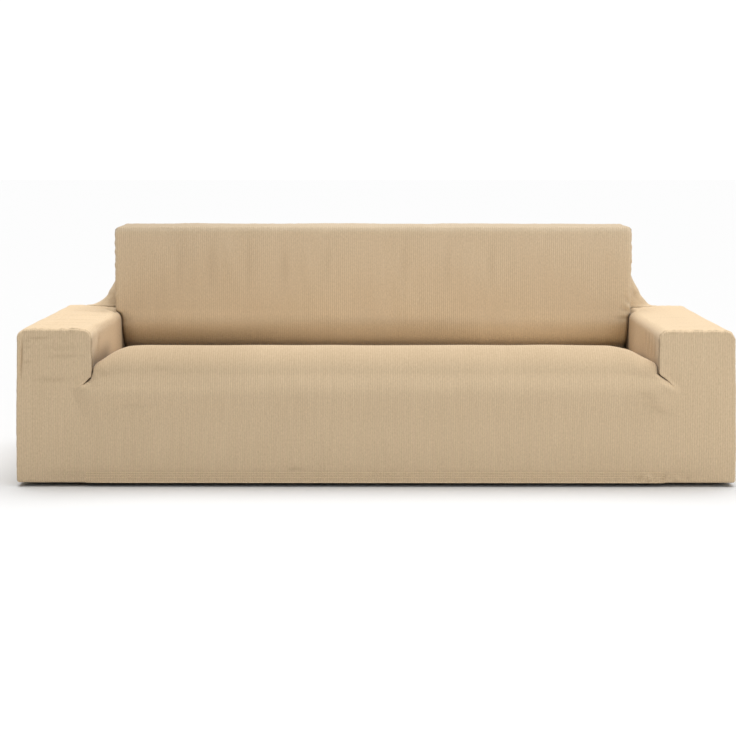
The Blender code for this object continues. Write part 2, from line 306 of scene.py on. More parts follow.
LEFT = Arm(side=Side.LEFT, top_front=0.4945, top_rear=0.4870, outer_round=0.030, rear_round=0.028,
           inner_round=0.032, web_round=0.140, back_round=0.022, back_half=0.927,
           web_slack=curve((0.0, 0.0), (0.010, 0.006), (0.023, 0.010), (0.040, 0.015), (0.054, 0.022),
                           (0.09, 0.020), (0.14, 0.008), (0.20, 0.0)),
           wall_shade=0.72, web_shade=0.45, nook_wide_shade=0.24, nook_thin_shade=0.16, wide=0.002,
           slit_calm=0.314, slit_share=0.70, fold_rise=0.045,
           curl=curve((0.16, 0.0), (0.26, 0.036), (0.300, 0.042), (0.312, 0.032), (0.326, 0.017),
                      (0.345, 0.0)),
           deck_edge=curve((-0.42, 0.366), (-0.31, 0.368), (-0.14, 0.366), (0.10, 0.356), (0.24, 0.350),
                           (0.286, 0.348)))
RIGHT = Arm(side=Side.RIGHT, top_front=0.4900, top_rear=0.4850, outer_round=0.036, rear_round=0.028,
            inner_round=0.030, web_round=0.130, back_round=0.020, back_half=0.912,
            web_slack=curve((0.0, 0.0), (0.012, 0.014), (0.022, 0.024), (0.044, 0.031), (0.060, 0.036),
                            (0.081, 0.034), (0.124, 0.024), (0.17, 0.012), (0.24, 0.0)),
            wall_shade=0.15, web_shade=0.0, nook_wide_shade=0.10, nook_thin_shade=0.45, wide=0.0065,
            slit_calm=0.358, slit_share=0.45, fold_rise=0.075,
            curl=curve((0.16, 0.0), (0.26, 0.047), (0.304, 0.053), (0.320, 0.038), (0.338, 0.018),
                       (0.352, 0.0)),
            deck_edge=curve((-0.42, 0.365), (-0.36, 0.368), (-0.26, 0.372), (-0.09, 0.365), (0.05, 0.357),
                            (0.24, 0.350), (0.286, 0.348)))


def arm_at(x: float) -> Arm:
    """Picks the arm on one side of the middle.

    Args:
        x: A place whose sign gives the side.

    Returns:
        The arm.
    """
    return LEFT if x < 0 else RIGHT


@dataclass(frozen=True)
class Fit:
    """The sofa's shape under the cover, in metres, as the frame and the photograph give it.

    Names in _round are radii, in _rim depths of rounded rims, in _face places along Y and in _foot heights.
    crown is the height of the seat's front along X, and deck_fall how far the deck falls by its share of the
    depth. outer is how far an arm's outer side stands out by height. corner_start is where the crown's ends
    start to fall, in front and at the rear.
    """

    half_width: float
    arm_front: float
    rear: float
    back_top: float
    cloth: float = 0.0025
    seam_gap: float = 0.0003
    arm_inner: float = 0.906
    back_half: float = 0.930
    back_face: float = 0.240
    tuck_face: float = 0.300
    cushion_low: float = 0.345
    cushion_round: float = 0.110
    seat_rear: float = 0.347
    seat_reach: float = 0.020
    apron_reach: float = 0.004
    bulge_width: Ramp = Ramp(0.935, 0.860)
    apron_rise: Ramp = Ramp(0.0, 0.200)
    cushion_rise: Ramp = Ramp(0.190, 0.300)
    lean_foot: float = 0.270
    lean_ease: float = 0.090
    seat_lean: float = 0.16
    slit_foot: float = 0.305
    front_least: float = 0.006
    fold_lead: float = 0.005
    wall_foot: float = 0.300
    front_rim: float = 0.006
    rear_rim: float = 0.020
    back_rim: float = 0.014
    top_round: float = 0.034
    hem_round: float = 0.010
    hem_turn: float = 0.020
    hem_rim_start: Ramp = Ramp(0.900, 0.950)
    crown_round: float = 0.095
    corner_round: float = 0.045
    corner_start: float = 0.72
    corner_start_rear: float = 0.80
    corner_gap: float = 0.0008
    arm_clear: float = 0.002
    tuck_round: float = 0.012
    seat_rear_round: float = 0.014
    tuck_depth: float = 0.018
    tuck_zone: float = 0.036
    back_tuck: float = 0.020
    arm_tuck: float = 0.030
    curl_reach: float = 0.110
    outer: Curve = curve((0.0, 0.005), (0.12, 0.004), (0.24, 0.001), (0.36, -0.0025), (0.49, -0.0070))
    hem_drop: float = 0.004
    hem_drop_top: float = 0.250
    crown: Curve = curve((-0.906, 0.366), (-0.8744, 0.3785), (-0.8523, 0.3918), (-0.8207, 0.4126),
                         (-0.7985, 0.4227), (-0.7732, 0.4296), (-0.7447, 0.4316), (-0.713, 0.4327),
                         (-0.5, 0.4331), (0.0, 0.4322), (0.727, 0.4321), (0.7705, 0.4267), (0.790, 0.4214),
                         (0.8041, 0.4178), (0.8298, 0.4023), (0.8496, 0.3942), (0.873, 0.3815),
                         (0.906, 0.368))
    deck_fall: Curve = curve((0.0, 0.0), (0.02, 0.0010), (0.10, 0.0078), (0.253, 0.0210), (0.56, 0.0460),
                             (0.79, 0.0650), (0.93, 0.0770), (1.0, 0.0852))

    @classmethod
    def from_frame(cls) -> "Fit":
        """Reads the outer sizes from the CAD nodes.

        Returns:
            The fit.
        """
        arm_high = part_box("arm_panel_right")[1]
        front_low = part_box("front_panel")[0]
        back_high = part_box("outside_back_panel")[1]
        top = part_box("inside_back_panel")[1].z
        return cls(half_width=arm_high.x, arm_front=front_low.y + cls.seat_reach, rear=back_high.y,
                   back_top=top)

    def outer_x(self, arm: Arm, z: float) -> float:
        """Outer side of an arm.

        Args:
            arm: The arm on this side.
            z: Height above the hem.

        Returns:
            Its distance from the middle plane.
        """
        return self.half_width + arm.wide + self.outer(z)

    def seat_bulge(self, a: float, z: float) -> float:
        """How far the seat's front stands ahead of the arms.

        Args:
            a: Distance from the middle plane.
            z: Height above the hem.

        Returns:
            The distance ahead.
        """
        cushion = (self.seat_reach - self.apron_reach) * self.cushion_rise(z)
        above = max(z - self.lean_foot, 0.0)
        lean = math.tan(self.seat_lean) * above * smooth(above / self.lean_ease)
        return self.bulge_width(a) * (self.apron_reach * self.apron_rise(z) + cushion - lean)

    def curled(self, arm: Arm, a: float, z: float) -> float:
        """Cloth near the foot of a slit is dragged outwards under the arm.

        Args:
            arm: The arm on this side.
            a: Distance from the middle plane.
            z: Height above the hem.

        Returns:
            The distance after the drag.
        """
        near = 1 - abs(a - self.arm_inner) / self.curl_reach
        return a + arm.curl(z) * smooth(near)


# ---- listed folds and small unevenness

class Plane(Enum):
    """The two axes a fold is drawn on, and the axis its cloth faces."""

    FRONT = (0, 2, 1)
    TOP = (0, 1, 2)
    SIDE = (1, 2, 0)


@dataclass(frozen=True)
class Fold:
    """A soft trough or ridge along a line drawn on a plane; height is positive where it stands out.

    fade is the share of the line over which it runs out at each end. facing keeps it to cloth that faces that
    way. shade is how much a trough darkens the cloth for each metre of its depth.
    """

    plane: Plane
    line: tuple[tuple[float, float], ...]
    width: float
    height: float
    fade: float = 0.3
    facing: int = 0
    shade: float = 35.0

    def lift(self, spots: np.ndarray, normals: np.ndarray) -> np.ndarray:
        """How far the fold moves the cloth out along its normals.

        Args:
            spots: Places of the vertices, one row each.
            normals: Their normals.

        Returns:
            One distance for each vertex.
        """
        first, second, across = self.plane.value
        flat = spots[:, (first, second)]
        points = np.array(self.line)
        lengths = np.linalg.norm(np.diff(points, axis=0), axis=1)
        best, place = np.full(len(flat), np.inf), np.zeros(len(flat))
        done = 0.0
        for start, end, length in zip(points, points[1:], lengths):
            along = np.clip((flat - start) @ (end - start) / length ** 2, 0.0, 1.0)
            distance = np.linalg.norm(flat - start - along[:, None] * (end - start), axis=1)
            closer = distance < best
            best[closer] = distance[closer]
            place[closer] = (done + along[closer] * length) / lengths.sum()
            done += length
        ends = np.clip(np.minimum(place, 1 - place) / self.fade, 0.0, 1.0) if self.fade else 1.0
        look = normals[:, across] * self.facing if self.facing else np.abs(normals[:, across])
        profile = self.height * np.exp(-(best / self.width) ** 2)
        return profile * ends * np.clip(look * LOOK_GAIN - LOOK_LOSS, 0.0, 1.0)


@dataclass(frozen=True)
class Ripple:
    """Soft unevenness of stretched cloth; size is its grain along X, Y and Z."""

    size: tuple[float, float, float]
    height: float
    seed: float = 0.0

    def lift(self, spots: np.ndarray) -> np.ndarray:
        """How far the ripple moves each vertex out.

        Args:
            spots: Places of the vertices, one row each.

        Returns:
            One distance for each vertex.
        """
        grain = spots / np.array(self.size) + self.seed
        return self.height * np.array([noise.noise(Vector(spot)) for spot in grain])


@dataclass(frozen=True)
class Seam:
    """How the cloth dips and puckers along its sewn edges.

    The calm shares are what is left of the pucker at quiet seams, and the ramps say where those are. lip is
    the low ridge beside the groove. wing_edges are the side, rear and top of the wings' lower ends.
    """

    groove: float = 0.0026
    groove_width: float = 0.0036
    pucker: float = 0.0060
    pucker_reach: float = 0.013
    pucker_pitch: float = 0.016
    calm_side: float = 0.22
    calm_top: float = 0.25
    calm_nook: float = 0.30
    hem_height: float = 0.035
    lip: float = 0.0012
    lip_at: float = 0.008
    shade: float = 0.42
    crevice_shade: float = 0.62
    shade_width: float = 0.0026
    below_arm_top: Ramp = Ramp(0.486, 0.466)
    outer_side: Ramp = Ramp(0.930, 1.050)
    back_top: Ramp = Ramp(0.740, 0.770)
    nook_depth: Ramp = Ramp(0.150, 0.230)
    nook_height: Ramp = Ramp(0.530, 0.500)
    wing_front: float = 0.200
    wing_edges: tuple[float, float, float] = (0.960, 0.360, 0.505)
    wing_calm: Ramp = Ramp(0.360, 0.330)
    slit_depth: float = -0.400
    slit_side: float = 1.0
    slit_top: Ramp = Ramp(0.475, 0.455)

    def strength(self, spot: Vector) -> float:
        """How much of the pucker is left: little at the arms' outer sides and along the top of the back.

        Args:
            spot: A place on the seam.

        Returns:
            A share.
        """
        side = self.outer_side(abs(spot.x)) * self.below_arm_top(spot.z)
        return min(mix(1.0, self.calm_side, side), mix(1.0, self.calm_top, self.back_top(spot.z)),
                   mix(1.0, self.calm_nook, self.nook(spot)))

    def nook(self, spot: Vector) -> float:
        """How far a place lies in the crevice between an arm and the back.

        Args:
            spot: A place on a seam.

        Returns:
            A share.
        """
        return self.nook_depth(spot.y) * self.nook_height(spot.z)

    def shown(self, spot: Vector) -> float:
        """How much of the seam shows: it runs out at a slit's foot, and lies flat where wing and back meet.

        Args:
            spot: A place on the seam.

        Returns:
            A share.
        """
        arm = arm_at(spot.x)
        wing_x, wing_rear, wing_top = self.wing_edges
        if self.wing_front < spot.y < wing_rear and abs(spot.x) < wing_x and spot.z < wing_top:
            return 1 - self.wing_calm(spot.y)
        if spot.y > self.slit_depth or abs(spot.x) > self.slit_side:
            return 1.0
        share = mix(1.0, arm.slit_share, self.slit_top(spot.z))
        return share * smooth((spot.z - Fit.slit_foot) / (arm.slit_calm - Fit.slit_foot))

    def relief(self, spots: np.ndarray, edge_spots: Sequence[Vector]) -> tuple[np.ndarray, np.ndarray]:
        """How far the seams move each vertex out, and how much they darken it.

        Args:
            spots: Places of the vertices, one row each.
            edge_spots: Places of the vertices on the cut edges.

        Returns:
            A distance and a shade from 0 to 1 for each vertex.
        """
        tree = kdtree.KDTree(len(edge_spots))
        for index, spot in enumerate(edge_spots):
            tree.insert(spot, index)
        tree.balance()
        lifts, shades = np.zeros(len(spots)), np.zeros(len(spots))
        for index, spot in enumerate(spots):
            nearest, _, distance = tree.find(spot)
            if distance > SEAM_REACHES * self.pucker_reach or nearest.z < self.hem_height:
                continue
            pucker_and_left_shade = noise.noise(nearest / self.pucker_pitch) * self.pucker * self.strength(nearest)
            shown = self.shown(nearest)
            lip = self.lip * math.exp(-((distance - self.lip_at) / self.groove_width) ** 2)
            groove = self.groove * math.exp(-(distance / self.groove_width) ** 2)
            lifts[index] = shown * (pucker_and_left_shade * math.exp(-(distance / self.pucker_reach) ** 2) + lip - groove)
            dark = mix(self.shade, self.crevice_shade, self.nook(nearest))
            shades[index] = shown * dark * math.exp(-(distance / self.shade_width) ** 2)
        return lifts, shades


# ---- materials

def to_linear(hex_colour: str) -> tuple[float, float, float, float]:
    """Turns an sRGB colour into Blender's linear one.

    Args:
        hex_colour: Six hex digits.

    Returns:
        Red, green, blue and alpha.
    """
    channels = [int(hex_colour[index:index + 2], 16) / 255 for index in (0, 2, 4)]
    linear = [c / 12.92 if c <= 0.04045 else ((c + 0.055) / 1.055) ** 2.4 for c in channels]
    return (*linear, 1.0)


def add_node(tree: bpy.types.NodeTree, kind: str, inputs: dict | None = None,
             **settings: object) -> bpy.types.Node:
    """Adds a node.

    A Mix node is told its sockets by index: 2 and 3 are the two numbers it mixes, 6 and 7 the two colours.

    Args:
        tree: Where to add it.
        kind: The node's type, without ShaderNode.
        inputs: Values, or sockets to link, for each input, by name or index.
        **settings: The node's own properties.

    Returns:
        The node.
    """
    node = tree.nodes.new("ShaderNode" + kind)
    for name, value in settings.items():
        setattr(node, name, value)
    for name, value in (inputs or {}).items():
        if isinstance(value, bpy.types.NodeSocket):
            tree.links.new(value, node.inputs[name])
        else:
            node.inputs[name].default_value = value
    return node


def new_material(name: str, values: dict[str, float | tuple[float, ...]]) -> bpy.types.Material:
    """Makes a material with constant values on some of its shader's sockets.

    Args:
        name: Name of the real material.
        values: The value of each socket, by the socket's name.

    Returns:
        The material.
    """
    material = bpy.data.materials.new(name)
    material.use_nodes = True
    for socket, value in values.items():
        material.node_tree.nodes["Principled BSDF"].inputs[socket].default_value = value
    return material


def add_object(mesh: bmesh.types.BMesh, name: str, material: bpy.types.Material) -> bpy.types.Object:
    """Puts a finished mesh into the scene and frees it.

    Args:
        mesh: The mesh, in the scene's own coordinates.
        name: Name of the piece.
        material: What it is made of.

    Returns:
        The object.
    """
    data = bpy.data.meshes.new(name)
    mesh.to_mesh(data)
    mesh.free()
    data.materials.append(material)
    piece = bpy.data.objects.new(name, data)
    bpy.context.scene.collection.objects.link(piece)
    return piece


class Grain(NamedTuple):
    """One layer of a knit's unevenness: cycles a metre across and along the ribs, detail, share of tone."""

    across: float
    along: float
    detail: float
    share: float


@dataclass(frozen=True)
class Knit:
    """Matt cotton and elastane rib knit. The eye reads rows of upright ribs, broken into a speckled grain.

    The real ribs are about 3.5 mm apart; they are drawn at rib, twice as coarse, as the photograph shows
    them. deep is the colour that painted shade mixes in.
    """

    name: str
    light: str = "DAC2A1"
    dark: str = "B6A07F"
    deep: str = "5E431C"
    rib: float = 0.0072
    floor: float = 0.01
    fleck: Grain = Grain(150.0, 75.0, 0.0, 0.44)
    layers: tuple[Grain, ...] = (Grain(9.0, 3.0, 2.0, 0.16), Grain(70.0, 5.0, 2.0, 0.22),
                                 Grain(230.0, 130.0, 1.0, 0.76))
    bump: float = 0.0006
    roughness: float = 0.92
    sheen: float = 0.14
    sheen_roughness: float = 0.5
    specular: float = 0.2

    def build(self) -> bpy.types.Material:
        """Makes the material.

        Returns:
            The material.
        """
        material = new_material(self.name, {
            "Roughness": self.roughness, "Sheen Weight": self.sheen, "Sheen Roughness": self.sheen_roughness,
            "Specular IOR Level": self.specular})
        tree = material.node_tree
        shader = tree.nodes["Principled BSDF"]
        place = add_node(tree, "UVMap", uv_map="cloth")
        split = add_node(tree, "SeparateXYZ", {0: place.outputs[0]})
        height = self._height(tree, split)
        fleck = self._noise(tree, place, self.fleck)
        rib = add_node(tree, "Math", {0: height.outputs[0], 1: fleck.outputs[0]}, operation="MULTIPLY")
        tone = add_node(tree, "Math", {0: rib.outputs[0], 1: self.fleck.share, 2: self.floor},
                        operation="MULTIPLY_ADD")
        for layer in self.layers:
            source = self._noise(tree, place, layer)
            tone = add_node(tree, "Math", {0: source.outputs[0], 1: layer.share, 2: tone.outputs[0]},
                            operation="MULTIPLY_ADD")
        cloth = add_node(tree, "Mix", {0: tone.outputs[0], 6: to_linear(self.dark), 7: to_linear(self.light)},
                         data_type="RGBA")
        # Painted shade: the shade attribute mixes the cloth's colour towards deep
        shade = add_node(tree, "Attribute", attribute_name="shade")
        colour = add_node(tree, "Mix",
                          {0: shade.outputs["Fac"], 6: cloth.outputs[2], 7: to_linear(self.deep)},
                          data_type="RGBA")
        tree.links.new(colour.outputs[2], shader.inputs["Base Color"])
        bump = add_node(tree, "Bump", {"Height": height.outputs[0], "Distance": self.bump, "Strength": 1.0})
        tree.links.new(bump.outputs[0], shader.inputs["Normal"])
        return material

    def _noise(self, tree: bpy.types.NodeTree, place: bpy.types.Node, grain: Grain) -> bpy.types.Node:
        """Adds noise stretched along the cloth.

        Args:
            tree: The material's nodes.
            place: The node that gives the place on the cloth, in metres.
            grain: The layer of unevenness.

        Returns:
            The noise node.
        """
        scaled = add_node(tree, "VectorMath", {0: place.outputs[0], 1: (grain.across, grain.along, 1.0)},
                          operation="MULTIPLY")
        return add_node(tree, "TexNoise", {"Vector": scaled.outputs[0], "Scale": 1.0, "Detail": grain.detail})

    def _height(self, tree: bpy.types.NodeTree, split: bpy.types.Node) -> bpy.types.Node:
        """Adds the ribs.

        Args:
            tree: The material's nodes.
            split: The node that gives the two distances on the cloth.

        Returns:
            A node whose output goes from 0 in the grooves to 1 on the ribs.
        """
        turn = add_node(tree, "Math", {0: split.outputs[0], 1: math.tau / self.rib}, operation="MULTIPLY")
        wave = add_node(tree, "Math", {0: turn.outputs[0]}, operation="SINE")
        return add_node(tree, "Math", {0: wave.outputs[0], 1: 0.5, 2: 0.5}, operation="MULTIPLY_ADD")


@dataclass(frozen=True)
class Thread:
    """Polyester sewing thread, a little lighter than the cloth and with a soft gloss."""

    name: str
    colour: str = "F6E4C4"
    shadow: str = "E4CCA4"
    fibre: float = 900.0
    roughness: float = 0.6

    def build(self) -> bpy.types.Material:
        """Makes the material.

        Returns:
            The material.
        """
        material = new_material(self.name, {"Roughness": self.roughness})
        tree = material.node_tree
        place = add_node(tree, "TexCoord")
        fibre = add_node(tree, "TexNoise", {"Vector": place.outputs["Object"], "Scale": self.fibre})
        colour = add_node(tree, "Mix",
                          {0: fibre.outputs[0], 6: to_linear(self.shadow), 7: to_linear(self.colour)},
                          data_type="RGBA")
        tree.links.new(colour.outputs[2], tree.nodes["Principled BSDF"].inputs["Base Color"])
        return material


# ---- panels

def middle(item: bmesh.types.BMFace | bmesh.types.BMEdge,
           places: dict[bmesh.types.BMVert, tuple[float, float]]) -> tuple[float, float]:
    """Finds the middle of a face or an edge of the grid.

    Args:
        item: The face or edge.
        places: The (u, v) of each vertex.

    Returns:
        The (u, v) of its middle.
    """
    corners = [places[vert] for vert in item.verts]
    return sum(u for u, _ in corners) / len(corners), sum(v for _, v in corners) / len(corners)


@dataclass
class Panel(ABC):
    """A sewn piece of cloth, cut on a grid of (u, v) and bent over the sofa."""

    fit: Fit
    name: str
    node: str
    slot: str
    flat: tuple[float, float]
    area: float
    folds: tuple[Fold, ...] = ()
    ripples: tuple[Ripple, ...] = ()
    seam: Seam = field(default_factory=Seam)
    knit: Knit = Knit("rib_knit")

    @abstractmethod
    def columns(self) -> list[float]:
        """Stations along u.

        Returns:
            The stations, in order.
        """

    @abstractmethod
    def rows(self) -> list[float]:
        """Stations along v.

        Returns:
            The stations, in order.
        """

    @abstractmethod
    def point(self, u: float, v: float) -> tuple[float, float, float]:
        """Outer face of the cloth.

        Args:
            u: Place across the ribs.
            v: Place along the ribs.

        Returns:
            The place in space.
        """

    @abstractmethod
    def across(self, u: float, v: float) -> float:
        """Distance across the ribs on the flat cloth.

        Args:
            u: Place across the ribs.
            v: Place along the ribs.

        Returns:
            The distance from the cloth's middle or front edge, in metres.
        """

    def facing(self) -> int:
        """Which way the outer face looks.

        Returns:
            1 where u, v and the outward normal are right-handed, else -1.
        """
        return 1

    def painted_shade(self, u: float, v: float) -> float:
        """Painted shade: how far the cloth's colour is darkened towards its deep colour.

        Args:
            u: Place across the ribs.
            v: Place along the ribs.

        Returns:
            0 where no shade is painted, up to 1.
        """
        return 0.0

    def is_waste(self, u: float, v: float) -> bool:
        """Whether the cloth is cut away.

        Args:
            u: Place across the ribs.
            v: Place along the ribs.

        Returns:
            True where there is no cloth.
        """
        return False

    def is_slit(self, u: float, v: float) -> bool:
        """Whether the cloth is slit.

        Args:
            u: Place across the ribs.
            v: Place along the ribs.

        Returns:
            True on a slit.
        """
        return False

    def build(self) -> bpy.types.Object:
        """Cuts, bends, creases and dresses the panel.

        Returns:
            The finished object.
        """
        mesh = bmesh.new()
        mesh.verts.layers.float.new("shade")
        columns, rows = self.columns(), self.rows()
        places = self._cut(mesh, columns, rows)
        for vert in mesh.verts:
            x, y, z = self.point(*self._inward(vert, places))
            vert.co = (x, y, z - self.fit.hem_drop * max(1 - z / self.fit.hem_drop_top, 0.0))
        if self.facing() < 0:
            bmesh.ops.reverse_faces(mesh, faces=mesh.faces[:])
        self._crease(mesh, places)
        self._mark(mesh, places, columns, rows)
        piece = add_object(mesh, self.name, self.knit.build())
        piece.data.shade_smooth()
        thickness = piece.modifiers.new("thickness", "SOLIDIFY")
        thickness.thickness = self.fit.cloth
        thickness.offset = -1.0
        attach(piece, "root")
        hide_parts(self.node)
        return piece

    def _cut(self, mesh: bmesh.types.BMesh, columns: Sequence[float],
             rows: Sequence[float]) -> dict[bmesh.types.BMVert, tuple[float, float]]:
        """Cuts the flat grid and slits it.

        Args:
            mesh: An empty mesh.
            columns: Stations along u.
            rows: Stations along v.

        Returns:
            The (u, v) of each vertex.
        """
        wide, long = len(columns) - 1, len(rows) - 1
        # The grid comes as a square from -0.5 to 0.5; each vertex first gets its column and row as X and Y
        bmesh.ops.create_grid(mesh, x_segments=wide, y_segments=long, size=0.5)
        for vert in mesh.verts:
            vert.co = Vector((round((vert.co.x + 0.5) * wide), round((vert.co.y + 0.5) * long), 0.0))
        places = {vert: (columns[round(vert.co.x)], rows[round(vert.co.y)]) for vert in mesh.verts}
        waste = [face for face in mesh.faces if self.is_waste(*middle(face, places))]
        bmesh.ops.delete(mesh, geom=waste, context="FACES")
        slits = [edge for edge in mesh.edges if self.is_slit(*middle(edge, places))]
        bmesh.ops.split_edges(mesh, edges=slits)
        return {vert: (columns[round(vert.co.x)], rows[round(vert.co.y)]) for vert in mesh.verts}

    def _inward(self, vert: bmesh.types.BMVert,
                places: dict[bmesh.types.BMVert, tuple[float, float]]) -> tuple[float, float]:
        """The (u, v) of a vertex, moved a touch into its own faces, so that a slit's two sides differ.

        Args:
            vert: The vertex.
            places: The (u, v) of each vertex.

        Returns:
            Its (u, v).
        """
        u, v = places[vert]
        if not vert.is_boundary:
            return u - TOUCH, v - TOUCH
        around = [middle(face, places) for face in vert.link_faces]
        mean_u = sum(place[0] for place in around) / len(around)
        mean_v = sum(place[1] for place in around) / len(around)
        return u + math.copysign(TOUCH, mean_u - u - TOUCH), v + math.copysign(TOUCH, mean_v - v - TOUCH)

    def _crease(self, mesh: bmesh.types.BMesh,
                places: dict[bmesh.types.BMVert, tuple[float, float]]) -> None:
        """Moves the cloth along its normals by its folds, ripples and seams, and notes its painted shade.

        Args:
            mesh: The bent panel.
            places: The (u, v) of each vertex.
        """
        mesh.normal_update()
        spots = np.array([vert.co for vert in mesh.verts])
        normals = np.array([vert.normal for vert in mesh.verts])
        lifts, shades = self.seam.relief(spots, [vert.co.copy() for vert in mesh.verts if vert.is_boundary])
        for fold in self.folds:
            lift = fold.lift(spots, normals)
            lifts += lift
            # Painted shade in the folds' troughs
            shades += np.clip(-lift, 0.0, None) * fold.shade
        slack = np.clip((spots[:, 2] - self.seam.hem_height) / SLACK_RISE, 0.0, 1.0)
        for ripple in self.ripples:
            lifts += ripple.lift(spots) * slack
        layer = mesh.verts.layers.float["shade"]
        for vert, spot, normal, lift, shade in zip(mesh.verts, spots, normals, lifts, shades):
            vert.co = spot + normal * lift
            # Painted shade of folds, seams and the panel's own, kept in the shade attribute
            vert[layer] = min(shade + self.painted_shade(*places[vert]), 1.0)

    def _mark(self, mesh: bmesh.types.BMesh, places: dict[bmesh.types.BMVert, tuple[float, float]],
              columns: Sequence[float], rows: Sequence[float]) -> None:
        """Writes each corner's place on the flat cloth, in metres, as its UV.

        Args:
            mesh: The bent panel.
            places: The (u, v) of each vertex.
            columns: Stations along u.
            rows: Stations along v.
        """
        along = {}
        for column in (0.0, columns[-1]):
            path = np.array([self.point(column, row) for row in rows])
            lengths = np.concatenate(([0.0], np.cumsum(np.linalg.norm(np.diff(path, axis=0), axis=1))))
            along[column] = dict(zip(rows, lengths.tolist()))
        layer = mesh.loops.layers.uv.new("cloth")
        limit = self.fit.arm_inner
        for face in mesh.faces:
            outer = all(abs(places[vert][0]) >= limit - AT_EDGE for vert in face.verts)
            lengths = along[columns[-1] if outer else 0.0]
            for loop in face.loops:
                u, v = places[loop.vert]
                loop[layer].uv = (self.across(u, v), lengths[v])


# Painted shade along v over the seat's crown and on the back, and for the last along X towards the left
CROWN_PAINTED_SHADE = curve((1.9, 0.0), (2.15, 0.08), (2.4, 0.20), (2.7, 0.28), (3.0, 0.22), (3.3, 0.14),
                      (4.0, 0.02))
BACK_PAINTED_SHADE = curve((0.0, 0.16), (0.7, 0.14), (1.6, 0.02), (2.0, 0.03), (2.3, 0.06), (2.88, 0.07),
                     (2.94, 0.09), (2.965, 0.15), (2.985, 0.28), (3.0, 0.37), (3.12, 0.38), (4.0, 0.34))
LEFT_PAINTED_SHADE = curve((0.0, 0.0), (0.25, 0.08), (0.50, 0.24), (0.70, 0.26), (0.87, 0.30), (0.93, 0.34))


